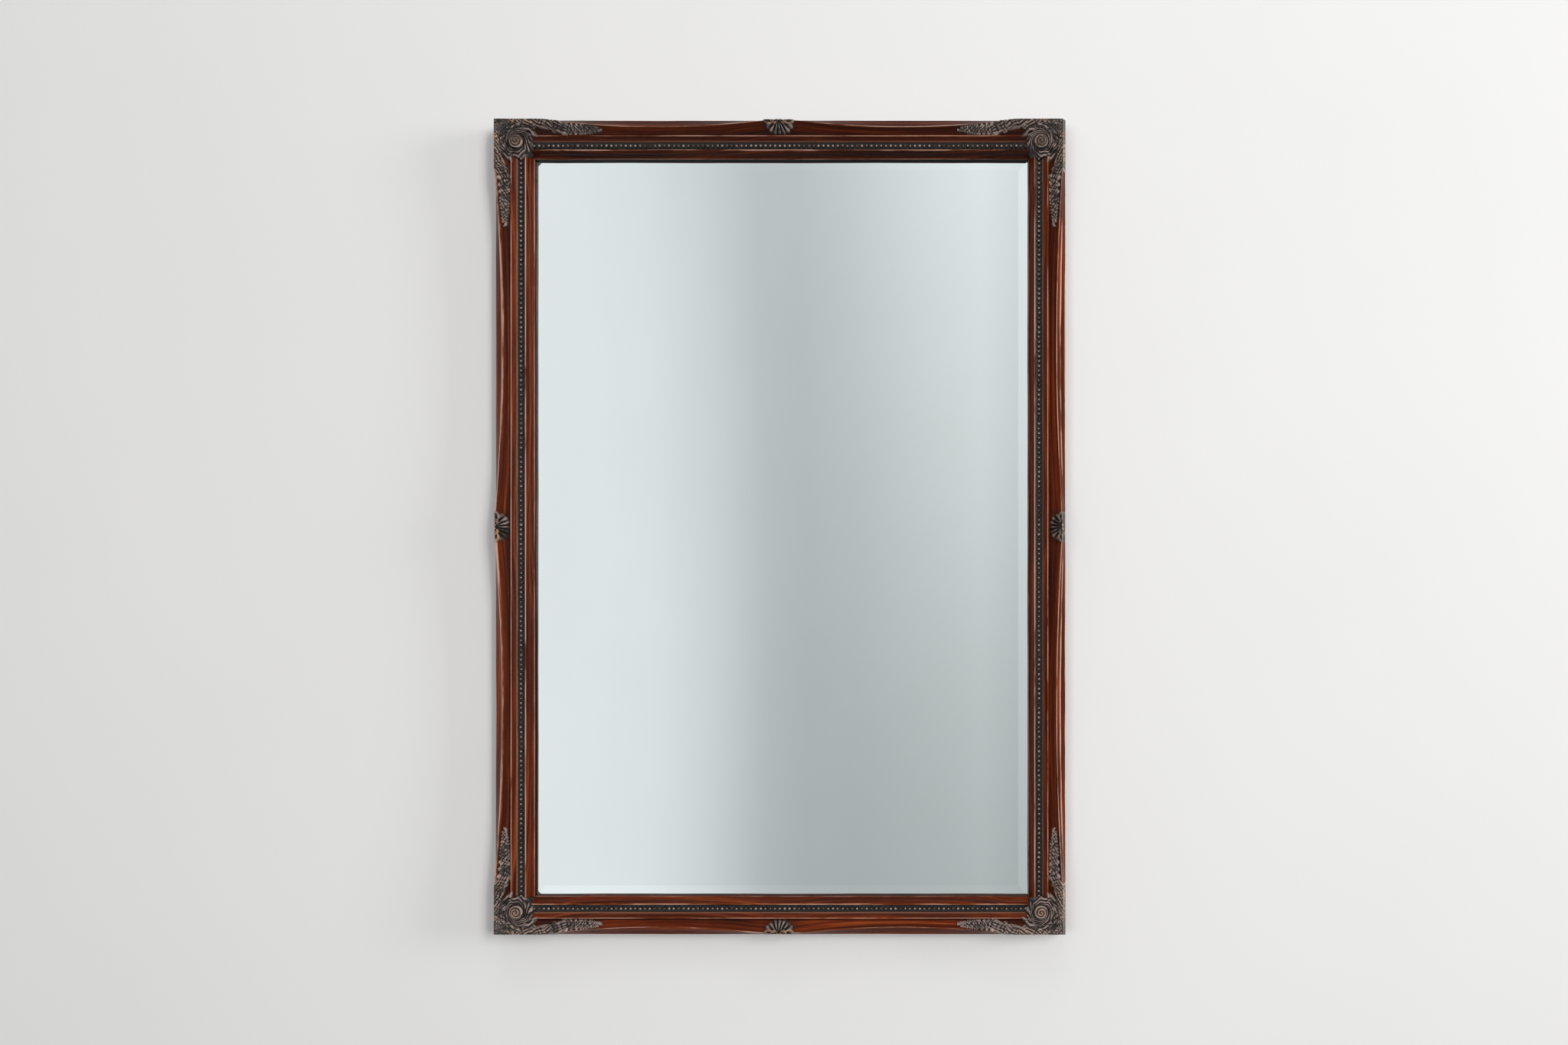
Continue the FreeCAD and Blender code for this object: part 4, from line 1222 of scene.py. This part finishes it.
ROOM_STOPS = (
    (0.20, grey(0.84)), (0.345, grey(0.84)), (0.365, grey(0.81)), (0.389, grey(0.695)),
    (0.412, grey(0.55)), (0.428, grey(0.522)), (0.45, (0.555, 0.555, 0.553)),
    (0.477, (0.625, 0.625, 0.62)), (0.505, (0.69, 0.69, 0.684)), (0.52, (0.625, 0.625, 0.62)),
    (0.57, (0.64, 0.64, 0.635)), (0.60, (0.70, 0.705, 0.70)), (0.66, (0.71, 0.715, 0.71)),
    (0.9, grey(0.66)),
)
SKY_STOPS = ((0.0, grey(0.06)), (0.35, grey(0.14)), (0.5, grey(0.22)), (0.8, grey(0.36)))
SEEN_COLOUR = (0.86, 0.86, 0.855)

world = bpy.data.worlds.new("room")
bpy.context.scene.world = world
world.use_nodes = True
tree = world.node_tree
tree.nodes.clear()
toward = put(tree, "ShaderNodeSeparateXYZ", {0: put(tree, "ShaderNodeTexCoord").outputs["Generated"]})
swing = maths(tree, "ADD", maths(tree, "MULTIPLY", toward.outputs[0], 0.5), 0.5)
room = ramp(tree, swing, *ROOM_STOPS)
height = toward.outputs[2]
tilt = ranged(tree, height, -0.4, 0.5, -0.32, 0.27)
upward = maths(tree, "MULTIPLY", tilt, ranged(tree, swing, 0.37, 0.5))
brighter = maths(tree, "ADD", upward, ranged(tree, height, -0.29, -0.36, 1.0, 1.08))
room = times(tree, room, brighter)
room = blend_colour(tree, ranged(tree, toward.outputs[1], -0.78, -0.6), room, grey(0.30))
room = blend_colour(tree, ranged(tree, toward.outputs[1], -0.1, 0.4), room, grey(0.62))
sky = ramp(tree, ranged(tree, height, -1.0, 1.0), *SKY_STOPS)
ray = put(tree, "ShaderNodeLightPath")
room = blend_colour(tree, ray.outputs["Is Glossy Ray"], sky, room)
room = blend_colour(tree, ray.outputs["Is Camera Ray"], room, SEEN_COLOUR)
light = put(tree, "ShaderNodeBackground", {"Color": room, "Strength": 1.0})
put(tree, "ShaderNodeOutputWorld", {"Surface": light.outputs[0]})


def add_lamp(name, place, width, height, power, glints=False):
    """Soft lamp of a width and a height at a place, turned to face the middle of the frame."""
    lamp = bpy.data.lights.new(name, "AREA")
    lamp.shape = "RECTANGLE"
    lamp.size, lamp.size_y = width, height
    lamp.energy = power
    holder = new_object(name, lamp)
    holder.location = place
    holder.rotation_mode = "QUATERNION"
    holder.rotation_quaternion = (-holder.location).to_track_quat("-Z", "Y")
    holder.visible_glossy = glints


add_lamp("side_lamp", (3.2, -4.9, 1.3), 1.5, 2.4, 134.0)
add_lamp("low_lamp", (7.0, -2.2, 1.0), 1.8, 3.0, 230.0)
add_lamp("top_lamp", (0.2, -2.2, 3.6), 1.8, 1.0, 14.0)
add_lamp("front_lamp", (-1.6, -4.6, 0.1), 1.6, 1.6, 42.0)
add_lamp("glint_lamp", (2.2, -3.8, 1.0), 0.15, 2.4, 20.0, glints=True)
add_lamp("back_lamp", (-0.8, 3.4, 1.2), 1.4, 1.4, 30.0)
print("lamps and room are lit")

# %% [markdown]
# ## The camera
# The picture was taken square to the wall, from a little right of the middle and below it. A camera that
# looks straight at the wall, with a lens shift, keeps the frame square.

# %% Camera
IMAGE_WIDTH = 2048
IMAGE_HEIGHT = 1365
EYE = (0.2344, -1.4118, -0.0825)
PIXELS_PER_METRE = 1050.0
PRINCIPAL_X, PRINCIPAL_Y = 1268.7, 776.6

lens = bpy.data.cameras.new("camera")
lens.sensor_width = 36.0
lens.lens = -EYE[1] * PIXELS_PER_METRE / IMAGE_WIDTH * lens.sensor_width
lens.shift_x = (IMAGE_WIDTH / 2 - PRINCIPAL_X) / IMAGE_WIDTH
lens.shift_y = (PRINCIPAL_Y - IMAGE_HEIGHT / 2) / IMAGE_WIDTH
camera = new_object("camera", lens)
camera.location = EYE
camera.rotation_euler = (math.pi / 2, 0, 0)
bpy.context.scene.camera = camera
bpy.context.scene.view_settings.view_transform = "Standard"
print(f"lens {lens.lens:.1f} mm, shift {lens.shift_x:.3f}, {lens.shift_y:.3f}")
